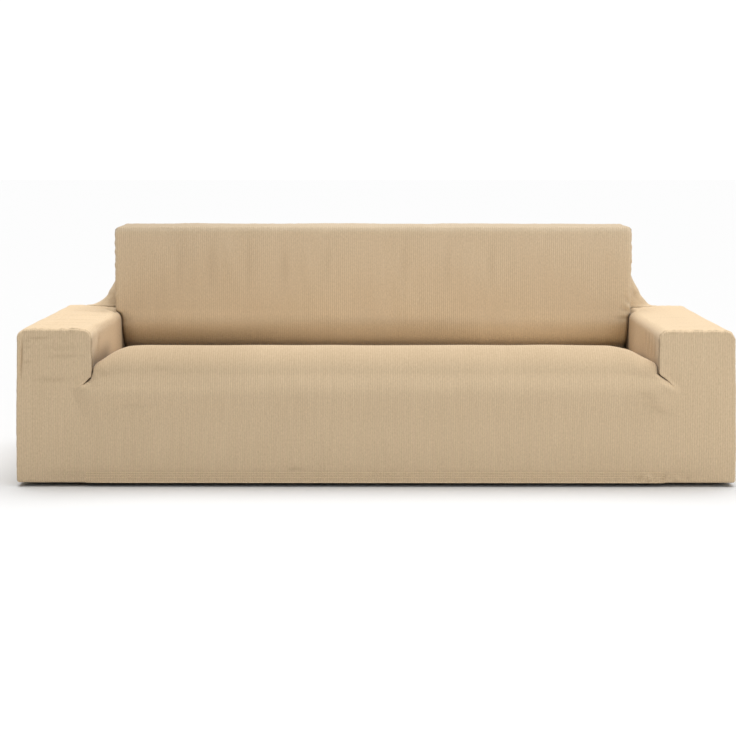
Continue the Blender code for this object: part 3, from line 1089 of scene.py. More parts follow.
@dataclass
class FrontPanel(Panel):
    """Apron, arm fronts and seat in one piece.

    u is X; v runs up the cloth: 0 hem, 1 slit's foot, then an arm's front ends at 2, while the seat goes on:
    2 crown begins, 3 deck begins, 4 rear edge, 5 tuck, 6 end of the cloth.

    slit_strip and rim_strip are the finely cut strips at an arm's front. hem_tab is how far inside the arm's
    two sides the turned hem ends. The left shade fields paint shade on the seat's left, away from the light.
    The eases say how soon behind the crown its two ends, its middle and its sides take the deck's form.
    """

    slit_strip: float = 0.028
    rim_strip: float = 0.036
    hem_tab: tuple[float, float] = (0.024, 0.050)
    # Painted shade on the seat's left, away from the light: its share, and ramps across X and along v
    pucker_and_left_shade: float = 0.07
    left_shade_side: Ramp = Ramp(-0.30, -0.55)
    left_shade_start: Ramp = Ramp(1.0, 1.4)
    left_shade_end: Ramp = Ramp(4.0, 3.0)
    corner_ease: Ramp = Ramp(3.0, 3.0 + 2 / 3)
    middle_ease: Ramp = Ramp(3.0, 3.5)
    edge_ease: Ramp = Ramp(3.0, 3.25)
    tuck_end: Ramp = Ramp(3.8, 4.0)

    def columns(self) -> list[float]:
        """Stations along u, closest at the slits and at the arms' outer sides.

        Returns:
            The stations, in order.
        """
        fit = self.fit
        bend, tab = fit.arm_inner - fit.tuck_zone, fit.arm_inner + self.slit_strip
        rim = fit.half_width - self.rim_strip
        return both_sides((Run(0.0, bend, 106), Run(bend, fit.arm_inner, 10), Run(fit.arm_inner, tab, 9),
                           Run(tab, rim, 24), Run(rim, fit.half_width, 14)))

    def rows(self) -> list[float]:
        """Stations along v, closest at the hem, the slits' feet and the tuck.

        Returns:
            The stations, in order.
        """
        return steps((Run(-1, 0, 3), Run(0, 0.12, 19), Run(0.12, 0.78, 26), Run(0.78, 1, 11), Run(1, 1.8, 22),
                      Run(1.8, 2, 12), Run(2, 3, 14), Run(3, 4, 54), Run(4, 5, 5), Run(5, 6, 2)))

    def across(self, u: float, v: float) -> float:
        """Distance across the ribs, followed down into the tucks beside the arms.

        Args:
            u: Place across the ribs.
            v: Place along the ribs.

        Returns:
            The distance from the cloth's middle or front edge, in metres.
        """
        fit, arm, a = self.fit, arm_at(u), abs(u)
        if v > 1 and a < fit.arm_inner + TOUCH:
            edge, along = fit.arm_inner - fit.seam_gap, self._into_tuck(a, v)
            x = edge - fit.tuck_round + along
            if along <= 0:
                x = a * (edge - fit.tuck_round) / (edge - fit.tuck_zone)
            height = self.point(u, v)[2]
            x = mix(a, x, smooth((height - fit.slit_foot) / arm.fold_rise) if v < 3 else 1.0)
            return math.copysign(fit.curled(arm, x, height) if v < 3 else x, u)
        z = fit.slit_foot * v if v < 1 else mix(fit.slit_foot, arm.top_front, v - 1)
        return math.copysign(fit.curled(arm, a, z), u)

    def is_waste(self, u: float, v: float) -> bool:
        """Whether the cloth is cut away: above the arms' fronts, and below the hem between the arms.

        Args:
            u: Place across the ribs.
            v: Place along the ribs.

        Returns:
            True where there is no cloth.
        """
        a = abs(u)
        if v < 0:
            inner, outer = self.hem_tab
            return not self.fit.arm_inner + inner < a < self.fit.half_width - outer
        return a > self.fit.arm_inner and v > 2

    def is_slit(self, u: float, v: float) -> bool:
        """Whether the cloth is slit, beside the arms.

        Args:
            u: Place across the ribs.
            v: Place along the ribs.

        Returns:
            True on a slit.
        """
        return v > 1 and math.isclose(abs(u), self.fit.arm_inner)

    def point(self, u: float, v: float) -> tuple[float, float, float]:
        """Outer face of the apron, the arms' fronts and the seat.

        Args:
            u: Place across the ribs.
            v: Place along the ribs.

        Returns:
            The place in space.
        """
        fit = self.fit
        arm, a = arm_at(u), abs(u)
        if v <= 1:
            bottom = round_in(fit.half_width - a, fit.hem_round) if a > fit.arm_inner else 0.0
            z = mix(bottom, fit.slit_foot, max(v, 0.0))
            return self._face(arm, a, z, 0.0, max(-v, 0.0) * fit.hem_turn)
        if a > fit.arm_inner:
            top = arm.top_front - max(round_in(fit.half_width - a, arm.outer_round),
                                      round_in(a - fit.arm_inner, arm.inner_round))
            z = mix(fit.slit_foot, top, v - 1)
            return self._face(arm, a, z, smooth((z - fit.slit_foot) / (arm.fold_rise - fit.fold_lead)), 0.0)
        return self._seat(arm, u, v)

    def painted_shade(self, u: float, v: float) -> float:
        """Painted shade on the seat: most over the crown, and more towards the left, away from the light.

        Args:
            u: Place across the ribs.
            v: Place along the ribs.

        Returns:
            0 where no shade is painted, up to 1.
        """
        if abs(u) > self.fit.arm_inner + TOUCH:
            return 0.0
        return CROWN_PAINTED_SHADE(v) + self.pucker_and_left_shade * self.left_shade_side(u) * self.left_shade_start(v) * self.left_shade_end(v)

    def _face(self, arm: Arm, a: float, z: float, slit: float, turned: float) -> tuple[float, float, float]:
        """A place on the apron or on an arm's front, with its rounded rim.

        Args:
            arm: The arm on this side.
            a: Distance from the middle plane.
            z: Height above the hem.
            slit: 1 where the cloth is slit from the seat, 0 where it is whole.
            turned: How far the hem has turned under.

        Returns:
            The place in space.
        """
        fit = self.fit
        x = a
        if a > fit.arm_inner:
            spread = (fit.outer_x(arm, z) - fit.arm_inner) / (fit.half_width - fit.arm_inner)
            x = fit.arm_inner + (a - fit.arm_inner) * spread
        to_side, to_top = fit.outer_x(arm, z) - x, arm.top_front - z
        drop = 0.0
        if a > fit.arm_inner:
            drop = max(round_in(to_corner(to_side, to_top, arm.outer_round), fit.front_rim),
                       round_in(to_corner(x - fit.arm_inner, to_top, arm.inner_round), fit.front_rim) * slit)
        hem = round_in(to_corner(to_side, z, fit.hem_round), fit.front_rim) * fit.hem_rim_start(a)
        bulge = fit.seat_bulge(a, z) * (1 - slit)
        x = fit.curled(arm, x, z) + fit.seam_gap * slit
        return arm.sign * x, fit.arm_front + max(drop, hem) - bulge + turned, z

    def _seat(self, arm: Arm, u: float, v: float) -> tuple[float, float, float]:
        """The seat from the slit's foot up, over the crown and back to the tuck, its sides tucked down.

        Args:
            arm: The arm on this side.
            u: Place across the ribs.
            v: Place along the ribs.

        Returns:
            The place in space.
        """
        fit, a = self.fit, abs(u)
        crown, edge = fit.crown(u), fit.arm_inner - fit.seam_gap
        start = mix(fit.corner_start, fit.corner_start_rear, self.corner_ease(v))
        side = smooth((a - start) / (edge - start))
        tilt = fit.seat_lean * (1 - side)
        rise = mix(fit.crown_round, fit.corner_round, side) * (1 - math.sin(tilt))
        front_top = max(crown - rise, fit.slit_foot + fit.front_least)
        crown_round = (crown - front_top) / (1 - math.sin(tilt))
        hub = np.array((0.0, fit.arm_front - fit.seat_bulge(a, front_top) + math.cos(tilt) * crown_round,
                        crown - crown_round))
        deck_end = fit.tuck_face - fit.seam_gap - fit.seat_rear_round
        if v < 2:
            z = mix(fit.slit_foot, front_top, v - 1)
            path, out = np.array((0.0, fit.arm_front - fit.seat_bulge(a, z), z)), np.array((0.0, -1.0, 0.0))
        elif v < 3:
            turn = mix(tilt, math.pi / 2, v - 2)
            out = np.array((0.0, -math.cos(turn), math.sin(turn)))
            path = hub + out * crown_round
        elif v < 4:
            y = mix(float(hub[1]), deck_end, v - 3)
            z = mix(crown, fit.crown(0.0), self.middle_ease(v)) - fit.deck_fall(v - 3)
            edge_z = mix(crown, arm.deck_edge(y), self.edge_ease(v))
            path, out = np.array((0.0, y, mix(z, edge_z, side))), np.array((0.0, 0.0, 1.0))
        else:
            turn = min(v - 4, 1) * math.pi / 2
            out = np.array((0.0, math.sin(turn), math.cos(turn)))
            end = mix(fit.seat_rear, arm.deck_edge(deck_end), side)
            path = np.array((0.0, deck_end, end - fit.seat_rear_round)) + out * fit.seat_rear_round
            path[2] -= max(v - 5, 0.0) * fit.tuck_depth
        folded = smooth((float(path[2]) - fit.slit_foot) / arm.fold_rise) if v < 3 else 1.0
        along = self._into_tuck(a, v)
        quarter = fit.tuck_round * math.pi / 2
        if along <= 0:
            x, depth = a * (edge - fit.tuck_round) / (edge - fit.tuck_zone), 0.0
        elif along < quarter:
            turn = along / fit.tuck_round
            x, depth = edge - fit.tuck_round * (1 - math.sin(turn)), fit.tuck_round * (1 - math.cos(turn))
        else:
            x, depth = edge, fit.tuck_round + along - quarter
        x = mix(a, x, folded)
        spot = path - out * depth * folded
        x = fit.curled(arm, x, float(spot[2])) if v < 3 else x
        return math.copysign(x, u), float(spot[1]), float(spot[2])

    def _into_tuck(self, a: float, v: float) -> float:
        """How far along the seat's folded side the cloth lies.

        Args:
            a: Distance from the middle plane on the flat cloth.
            v: Place along the ribs.

        Returns:
            The length of cloth from the start of the fold, below 0 before it.
        """
        fit = self.fit
        edge = fit.arm_inner - fit.seam_gap
        straight = fit.tuck_depth * (1 - self.tuck_end(v))
        return (1 - (edge - a) / fit.tuck_zone) * (fit.tuck_round * math.pi / 2 + straight)


@dataclass
class InsideBackPanel(Panel):
    """The back's face and top.

    u is X; v: 0 end of the tuck, 1 foot of an arm's round corner, 2 above the arm, 3 front of the top, 4 rear
    of the top.

    side_strip is where the finely cut sides start. tuck_turn and its loss shorten the side tuck towards the
    arm's top. The left shade fields paint shade on the left, away from the light, most at the top's edge.
    The crevice and nook ramps say where shade is painted between seat and back, and between back and arm.
    """

    side_strip: float = 0.900
    rim_strip: float = 0.010
    tuck_top: float = 1.5
    tuck_turn: Ramp = Ramp(0.5, 1.5)
    tuck_turn_loss: float = 0.8
    # Painted shade on the left, away from the light: its share, the share added at the top's edge, and a ramp
    # across X
    pucker_and_left_shade: float = 0.04
    left_shade_top: float = 0.08
    left_shade_side: Ramp = Ramp(-0.10, -0.90)
    top_edge: Ramp = Ramp(2.93, 3.00)
    # Where shade is painted in the crevice above the seat and in the nooks beside the arms
    crevice_side: Ramp = Ramp(0.55, 0.20)
    crevice_top: Ramp = Ramp(0.95, 0.55)
    nook_wide: Ramp = Ramp(0.870, 0.920)
    nook_thin: Ramp = Ramp(0.914, 0.926)
    nook_top: Ramp = Ramp(1.9, 1.5)

    def columns(self) -> list[float]:
        """Stations along u, closest at the sides.

        Returns:
            The stations, in order.
        """
        fit = self.fit
        side, rim = self.side_strip, fit.back_half - self.rim_strip
        return both_sides((Run(0.0, side, 112), Run(side, rim, 5), Run(rim, fit.back_half, 4),
                           Run(fit.back_half, fit.back_half + fit.back_tuck, 2)))

    def rows(self) -> list[float]:
        """Stations along v, closest at the front of the top.

        Returns:
            The stations, in order.
        """
        return steps((Run(0, 1, 20), Run(1, 2, 6), Run(2, 2.94, 36), Run(2.94, 3, 7), Run(3, 3.12, 5),
                      Run(3.12, 4, 20)))

    def across(self, u: float, v: float) -> float:
        """Distance across the ribs; rows beside the arms are narrower.

        Args:
            u: Place across the ribs.
            v: Place along the ribs.

        Returns:
            The distance from the cloth's middle or front edge, in metres.
        """
        arm = arm_at(u)
        edge = self._edge(arm, arm.top_rear - arm.inner_round * min(max(2 - v, 0.0), 1.0))
        return u * edge / self.fit.back_half

    def is_waste(self, u: float, v: float) -> bool:
        """Whether the cloth is cut away: the side tucks end above the arms.

        Args:
            u: Place across the ribs.
            v: Place along the ribs.

        Returns:
            True where there is no cloth.
        """
        return abs(u) > self.fit.back_half and v > self.tuck_top

    def painted_shade(self, u: float, v: float) -> float:
        """Painted shade: along the top's edge, in the crevice above the seat, beside the arms and towards the
        left.

        Args:
            u: Place across the ribs.
            v: Place along the ribs.

        Returns:
            0 where no shade is painted, up to 1.
        """
        arm, a = arm_at(u), abs(u)
        if v > 2:
            return BACK_PAINTED_SHADE(v) + self.left_shade_side(u) * (self.pucker_and_left_shade + self.left_shade_top * self.top_edge(v))
        nook = arm.nook_wide_shade * self.nook_wide(a) + arm.nook_thin_shade * self.nook_thin(a)
        return (BACK_PAINTED_SHADE(v) * self.crevice_side(u) + LEFT_PAINTED_SHADE(-u) * self.crevice_top(v)
                + nook * self.nook_top(v))

    def _edge(self, arm: Arm, z: float) -> float:
        """Where the back's face ends beside an arm.

        Args:
            arm: The arm on this side.
            z: Height above the hem.

        Returns:
            The distance from the middle plane.
        """
        fit = self.fit
        climb = z - fit.corner_gap - (arm.top_rear - arm.inner_round)
        if climb <= 0:
            return fit.arm_inner - fit.seam_gap
        if climb >= arm.inner_round:
            return arm.back_half
        bend = arm.inner_round - math.sqrt(arm.inner_round ** 2 - climb ** 2)
        return min(fit.arm_inner - fit.seam_gap + bend, arm.back_half)

    def point(self, u: float, v: float) -> tuple[float, float, float]:
        """Outer face of the back's front and top, with its foot set back behind the seat.

        Args:
            u: Place across the ribs.
            v: Place along the ribs.

        Returns:
            The place in space.
        """
        fit = self.fit
        arm = arm_at(u)
        a, past = min(abs(u), fit.back_half), max(abs(u) - fit.back_half, 0.0)
        corner_foot, clear = arm.top_rear - arm.inner_round, arm.top_rear + fit.arm_clear
        top = fit.back_top - round_in(fit.back_half - a, arm.back_round)
        if v < 1:
            z = mix(fit.seat_rear - fit.seat_rear_round - fit.tuck_depth, corner_foot, v)
        elif v < 2:
            z = mix(corner_foot, clear, v - 1)
        else:
            z = mix(clear, top, min(v - 2, 1.0))
        edge = self._edge(arm, z)
        x = a * edge / fit.back_half
        recess = min(round_in(z - fit.cushion_low, fit.cushion_round),
                     fit.tuck_face + fit.seam_gap - fit.back_face)
        near = to_corner(edge - x, (fit.back_top - z) * arm.back_round / fit.top_round, arm.back_round)
        y = (fit.back_face + round_in(near, fit.back_rim) + recess
             + past * (1 - self.tuck_turn_loss * self.tuck_turn(v)))
        if v > 3:
            y = mix(fit.back_face + fit.back_rim, fit.rear - fit.rear_rim - fit.seam_gap, v - 3)
        return arm.sign * x, y, z


@dataclass
class OutsideBackPanel(Panel):
    """The rear of the cover with the two wings that reach forward beside the back.

    u is 0 to 1 from the middle to the start of the web, and 1 to 2 along the rear of the arm below its top,
    and along the wing above it. v: 0 hem, 1 arm's top, 2 head of the web, 3 top of the back.

    hem_tab is the span of u whose hem is turned under. web_side and web_top say where the web is shaded.
    """

    hem_tab: tuple[float, float] = (0.870, 1.250)
    web_side: Ramp = Ramp(1.25, 1.85)
    web_top: Ramp = Ramp(2.4, 1.2)

    def columns(self) -> list[float]:
        """Stations along u, closest along the wings.

        Returns:
            The stations, in order.
        """
        return both_sides((Run(0.0, 0.94, 92), Run(0.94, 1, 9), Run(1, 2, 26)))

    def rows(self) -> list[float]:
        """Stations along v, closest at the hem, the webs and the top.

        Returns:
            The stations, in order.
        """
        return steps((Run(-1, 0, 3), Run(0, 0.075, 11), Run(0.075, 0.94, 40), Run(0.94, 1, 7), Run(1, 2, 24),
                      Run(2, 2.9, 15), Run(2.9, 3, 7)))

    def facing(self) -> int:
        """Which way the outer face looks.

        Returns:
            -1, as it is cut seen from the inside.
        """
        return -1

    def is_waste(self, u: float, v: float) -> bool:
        """Whether the cloth is cut away: the hem turns under at the rear corners alone.

        Args:
            u: Place across the ribs.
            v: Place along the ribs.

        Returns:
            True where there is no cloth.
        """
        inner, outer = self.hem_tab
        return v < 0 and not inner < abs(u) < outer

    def is_slit(self, u: float, v: float) -> bool:
        """Whether the cloth is slit, between a wing and the rear of its arm.

        Args:
            u: Place across the ribs.
            v: Place along the ribs.

        Returns:
            True on a slit.
        """
        return abs(u) > 1 and math.isclose(v, 1)

    def across(self, u: float, v: float) -> float:
        """Distance across the ribs, and on along the wing or the arm's rear.

        Args:
            u: Place across the ribs.
            v: Place along the ribs.

        Returns:
            The distance from the cloth's middle, in metres.
        """
        if abs(u) <= 1:
            return self.point(u, v)[0]
        start = abs(self.point(math.copysign(1.0, u), v)[0])
        past = self.fit.rear - self.fit.back_face if v > 1 else self.fit.half_width - start
        return math.copysign(start + (abs(u) - 1) * past, u)

    def painted_shade(self, u: float, v: float) -> float:
        """Painted shade in the webs.

        Args:
            u: Place across the ribs.
            v: Place along the ribs.

        Returns:
            0 where no shade is painted, up to 1.
        """
        if abs(u) <= 1 or v < 1:
            return 0.0
        arm = arm_at(u)
        return arm.web_shade * self.web_side(abs(u)) * self.web_top(v)

    def _rear_height(self, arm: Arm, u: float, v: float) -> float:
        """Height of a row of the grid.

        Args:
            arm: The arm whose heights are meant.
            u: Place across the ribs.
            v: Place along the ribs.

        Returns:
            The height above the hem.
        """
        fit = self.fit
        if v < 1:
            return mix(0.0, arm.top_rear, max(v, 0.0))
        if v < 2:
            lift = WING.lift(2 - abs(u)) if abs(u) > 1 else 0.0
            first = math.acos(1 - lift / arm.web_round)
            return arm.top_rear + arm.web_round * (1 - math.cos(mix(first, math.pi / 2, v - 1)))
        top = fit.back_top - round_in(fit.back_half * (1 - min(abs(u), 1.0)), arm.back_round)
        return mix(arm.top_rear + arm.web_round, top, v - 2)

    def point(self, u: float, v: float) -> tuple[float, float, float]:
        """Outer face of the rear and of the wings.

        Args:
            u: Place across the ribs.
            v: Place along the ribs.

        Returns:
            The place in space.
        """
        fit = self.fit
        arm, a = arm_at(u), abs(u)
        share = (min(max(u, -1.0), 1.0) + 1) / 2
        z = mix(self._rear_height(LEFT, u, v), self._rear_height(RIGHT, u, v), share)
        start = arm.back_half + arm.web_round
        edge = arm.back_half + arm.flare(z)
        if a > 1 and v > 1:
            depth = 2 - a
            x = mix(arm.back_half, edge, WING.spread(depth))
            z -= round_in(x - fit.arm_inner - fit.seam_gap, arm.inner_round) * max(2 - v, 0.0)
            y = mix(fit.back_face + fit.back_rim + fit.seam_gap, fit.rear - fit.rear_rim, depth)
            return arm.sign * x, y, z
        if a > 1:
            past = (a - 1) * (fit.half_width - start)
            low = round_in(fit.half_width - start - past, fit.hem_round)
            high = arm.top_rear - round_in(fit.half_width - start - past, arm.rear_round)
            z = mix(low, high, max(v, 0.0))
            x = start + past * (fit.outer_x(arm, z) - start) / (fit.half_width - start)
        else:
            x = a * (start if v <= 1 else edge)
        if x >= start:
            near = to_corner(fit.outer_x(arm, z) - x, arm.top_rear - z, arm.rear_round)
        elif z < arm.top_rear + arm.web_round:
            to_hub = arm.top_rear + arm.web_round - z
            slope = math.sqrt(max(1 - (to_hub / arm.web_round) ** 2, 0.0))
            near = max(math.hypot(start - x, to_hub) - arm.web_round, (edge - x) * slope)
        else:
            near = to_corner(edge - x, fit.back_top - z, arm.back_round)
        hem = round_in(to_corner(fit.outer_x(arm, z) - x, z, fit.hem_round), fit.rear_rim)
        drop = max(round_in(near, fit.rear_rim), hem * fit.hem_rim_start(x))
        return arm.sign * x, fit.rear - drop - max(-v, 0.0) * fit.hem_turn, z


@dataclass(frozen=True)
class Wing:
    """How the outside back's wing leaves the back's side and lies down on the arm."""

    start: float = 0.35
    clear: float = 0.0007

    def spread(self, depth: float) -> float:
        """The web's share of its full flare.

        Args:
            depth: 0 at the front of the wing and 1 at the rear.

        Returns:
            The share.
        """
        return smooth((depth - self.start) / (1 - self.start))

    def lift(self, depth: float) -> float:
        """How far the wing's foot stands clear of the arm.

        Args:
            depth: 0 at the front of the wing and 1 at the rear.

        Returns:
            The distance.
        """
        return self.clear * (1 - self.spread(depth))


WING = Wing()
FOOT_STATIONS = 200  # Places along a wing's foot at which the arm's cloth looks up its end


@dataclass
class ArmPanel(Panel):
    """The cloth over an arm, from the turned hem outside, over the top and down inside.

    u is 0 at the front seam and 1 at the rear; v: 0 end of the turned hem, 1 hem's round, 2 outer side,
    3 outer round, 4 top, 5 inner round, 6 inner side, 7 end of the cloth in the tuck.

    crown is how far the top bulges. foot and foot_rear say where the inner side's foot is shaded, and the
    nooks where the cloth goes in beside the back.
    """

    arm: Arm = LEFT
    crown: float = 0.003
    crease_gap: float = 0.0006
    curl_depth: float = 0.080
    nook_shade: float = 0.6
    foot: Ramp = Ramp(6.15, 6.55)
    foot_rear: Ramp = Ramp(0.35, 0.65)
    nook_side: Ramp = Ramp(4.9, 5.4)
    nook_depth: Ramp = Ramp(-0.012, 0.002)
    feet: tuple[np.ndarray, np.ndarray] = field(init=False)

    def __post_init__(self) -> None:
        """Lists the foot of the wing beside this arm: its distances from the middle plane, and its depths."""
        depths = np.linspace(0.0, 1.0, FOOT_STATIONS)
        spread = [self.arm.flare(self.arm.top_rear + WING.lift(depth)) * WING.spread(depth)
                  for depth in depths]
        self.feet = (self.arm.back_half + np.array(spread), depths)

    def columns(self) -> list[float]:
        """Stations along u, closest at the front seam and near the back.

        Returns:
            The stations, in order.
        """
        return steps((Run(0, 0.014, 5), Run(0.014, 0.05, 7), Run(0.05, 0.8, 84), Run(0.8, 1, 30)))

    def rows(self) -> list[float]:
        """Stations along v, closest where the cloth turns.

        Returns:
            The stations, in order.
        """
        return steps((Run(0, 1, 3), Run(1, 2, 5), Run(2, 3, 50), Run(3, 4, 9), Run(4, 5, 28), Run(5, 6, 8),
                      Run(6, 7, 18)))

    def facing(self) -> int:
        """Which way the outer face looks.

        Returns:
            The sign of X on this side.
        """
        return self.arm.sign

    def painted_shade(self, u: float, v: float) -> float:
        """Painted shade: at the foot of the inner side, and in the nook where the back meets it.

        Args:
            u: Place across the ribs.
            v: Place along the ribs.

        Returns:
            0 where no shade is painted, up to 1.
        """
        foot = self.arm.wall_shade * self.foot(v) * (1 - self.foot_rear(u))
        nook = self.nook_depth(self.point(u, v)[1] - self.fit.back_face) * self.nook_side(v)
        return max(foot, self.nook_shade * nook)

    def across(self, u: float, v: float) -> float:
        """Distance across the ribs.

        Args:
            u: Place across the ribs.
            v: Place along the ribs; not used.

        Returns:
            The distance from the front seam, in metres.
        """
        return u * (self.fit.rear - self.fit.arm_front)

    def _section(self, v: float, depth: float) -> tuple[float, float]:
        """The arm's outline.

        Args:
            v: Place along the ribs.
            depth: 0 at the front and 1 at the rear.

        Returns:
            Distance from the middle plane, and height.
        """
        fit, arm = self.fit, self.arm
        top = mix(arm.top_front, arm.top_rear, smooth(depth))
        outer_round = mix(arm.outer_round, arm.rear_round, depth)
        turn = (v % 1.0) * math.pi / 2
        if v < 1:
            return fit.outer_x(arm, 0.0) - fit.hem_round - (1 - v) * fit.hem_turn, 0.0
        if v < 2:
            z = fit.hem_round * (1 - math.cos(turn))
            return fit.outer_x(arm, z) - fit.hem_round * (1 - math.sin(turn)), z
        if v < 3:
            z = mix(fit.hem_round, top - outer_round, v - 2)
            return fit.outer_x(arm, z), z
        if v < 4:
            z = top - outer_round * (1 - math.sin(turn))
            return fit.outer_x(arm, z) - outer_round * (1 - math.cos(turn)), z
        if v < 5:
            crown = self.crown * math.sin(math.pi * (v - 4)) * math.sin(math.pi * depth)
            inner = fit.arm_inner + fit.seam_gap + arm.inner_round
            return mix(fit.outer_x(arm, top) - outer_round, inner, v - 4), top + crown
        if v < 6:
            return (fit.arm_inner + fit.seam_gap + arm.inner_round * (1 - math.sin(turn)),
                    top - arm.inner_round * (1 - math.cos(turn)))
        return fit.arm_inner + fit.seam_gap, mix(top - arm.inner_round, fit.wall_foot, v - 6)

    def _rear(self, v: float) -> float:
        """Where the arm's cloth ends: at the rear seam, at the web's crease, or in the tuck beside the back.

        Args:
            v: Place along the ribs.

        Returns:
            Y of the cloth's end.
        """
        fit, arm = self.fit, self.arm
        seam = fit.rear - fit.rear_rim - fit.seam_gap
        if v < 4:
            return seam
        a = self._section(v, 1.0)[0]
        if a >= arm.back_half + arm.web_round:
            return seam
        crease = mix(fit.back_face + fit.back_rim, fit.rear - fit.rear_rim, float(np.interp(a, *self.feet)))
        return max(crease - self.crease_gap, fit.tuck_face + fit.arm_tuck)

    def point(self, u: float, v: float) -> tuple[float, float, float]:
        """Outer face of the cloth around the arm.

        Args:
            u: Place across the ribs.
            v: Place along the ribs.

        Returns:
            The place in space.
        """
        fit = self.fit
        a, z = self._section(v, u)
        y = mix(fit.arm_front + fit.front_rim + fit.seam_gap, self._rear(v), u)
        if v > 6:
            a += self.arm.curl(z) * smooth(1 - (y - fit.arm_front) / self.curl_depth)
        return self.arm.sign * a, y, z


# ---- sewing

@dataclass(frozen=True)
class HemStitching:
    """Rows of machine stitches at the front and at the rear: three above the hem, and one at its edge."""

    fit: Fit
    rows: tuple[float, ...] = (0.014, 0.022, 0.030)
    edge: float = -0.0028
    edge_proud: float = 0.0016
    reach: float = 0.930
    pitch: float = 0.0050
    length: float = 0.0043
    radius: float = 0.0010
    sunk: float = 0.0004

    def build(self, finish: Thread) -> bpy.types.Object:
        """Makes every stitch.

        Args:
            finish: The thread.

        Returns:
            The finished object.
        """
        mesh = bmesh.new()
        for row in (self.edge, *self.rows):
            sunk = -self.edge_proud if row == self.edge else self.sunk
            for y in (self.fit.arm_front - self.fit.seat_bulge(0.0, row) + sunk, self.fit.rear - sunk):
                made = bmesh.ops.create_uvsphere(mesh, u_segments=6, v_segments=4, radius=1.0)
                for vert in made["verts"]:
                    deep, high, along = vert.co
                    vert.co = (along * self.length / 2 - self.reach, y + deep * self.radius,
                               row + high * self.radius)
        piece = add_object(mesh, "hem_stitching", finish.build())
        piece.data.shade_smooth()
        row_of = piece.modifiers.new("row", "ARRAY")
        row_of.use_relative_offset = False
        row_of.use_constant_offset = True
        row_of.constant_offset_displace = (self.pitch, 0.0, 0.0)
        row_of.count = int(2 * self.reach / self.pitch) + 1
        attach(piece, "root")
        return piece


# ---- studio

@dataclass(frozen=True)
class Light:
    """A soft light aimed at a spot: a sun where its size is an angle, else a disc with a size in metres."""

    name: str
    place: tuple[float, float, float]
    target: tuple[float, float, float]
    power: float
    size: float
    is_sun: bool = False
    colour: str = "FFFFFF"

    def build(self) -> None:
        """Adds the light."""
        data = bpy.data.lights.new(self.name, "SUN" if self.is_sun else "AREA")
        if self.is_sun:
            data.angle = math.radians(self.size)
        else:
            data.shape = "DISK"
            data.size = self.size
        data.energy = self.power
        data.color = to_linear(self.colour)[:3]
        lamp = bpy.data.objects.new(self.name, data)
        lamp.location = self.place
        lamp.rotation_euler = (Vector(self.target) - Vector(self.place)).to_track_quat("-Z", "Y").to_euler()
        bpy.context.scene.collection.objects.link(lamp)


@dataclass(frozen=True)
class Studio:
    """White floor and background, soft light from above right, and the photograph's camera."""

    floor_height: float = -0.017
    floor_half: float = 40.0
    floor_colour: str = "CDCDCD"
    sky: float = 0.30
    backdrop: float = 1.1
    camera_place: tuple[float, float, float] = (-0.002, -6.150, 1.107)
    pitch: float = 7.372
    yaw: float = 0.210
    lens: float = 87.95
    sensor: float = 36.0
    sight: float = 200.0
    lights: tuple[Light, ...] = (
        Light("overhead", (0.3, 0.7, 5.0), (0.0, 0.0, 0.0), 4.15, 60.0, is_sun=True),
        Light("front_right", (3.0, -4.8, 1.8), (0.3, 0.0, 0.3), 66.0, 2.4))

    def build(self) -> None:
        """Adds floor, world, lights and camera."""
        self._floor()
        self._sky()
        bpy.context.scene.view_settings.view_transform = "Standard"
        for light in self.lights:
            light.build()
        data = bpy.data.cameras.new("camera")
        data.lens = self.lens
        data.sensor_width = self.sensor
        data.sensor_fit = "HORIZONTAL"
        data.clip_end = self.sight
        camera = bpy.data.objects.new("camera", data)
        camera.location = self.camera_place
        camera.rotation_euler = (math.radians(90 - self.pitch), 0.0, math.radians(self.yaw))
        bpy.context.scene.collection.objects.link(camera)
        bpy.context.scene.camera = camera

    def _sky(self) -> None:
        """Adds the world: white where it is seen, and softer where it lights."""
        world = bpy.data.worlds.new("studio")
        world.use_nodes = True
        tree = world.node_tree
        seen = add_node(tree, "LightPath")
        strength = add_node(tree, "Mix", {0: seen.outputs["Is Camera Ray"], 2: self.sky, 3: self.backdrop},
                            data_type="FLOAT")
        tree.nodes["Background"].inputs["Color"].default_value = (1.0, 1.0, 1.0, 1.0)
        tree.links.new(strength.outputs[0], tree.nodes["Background"].inputs["Strength"])
        bpy.context.scene.world = world

    def _floor(self) -> None:
        """Adds the floor."""
        mesh = bmesh.new()
        bmesh.ops.create_grid(mesh, x_segments=1, y_segments=1, size=self.floor_half)
        for vert in mesh.verts:
            vert.co.z = self.floor_height
        paper = new_material("matt_white_paper", {
            "Base Color": to_linear(self.floor_colour), "Roughness": 1.0, "Specular IOR Level": 0.0})
        add_object(mesh, "floor", paper)


# ---- the cover

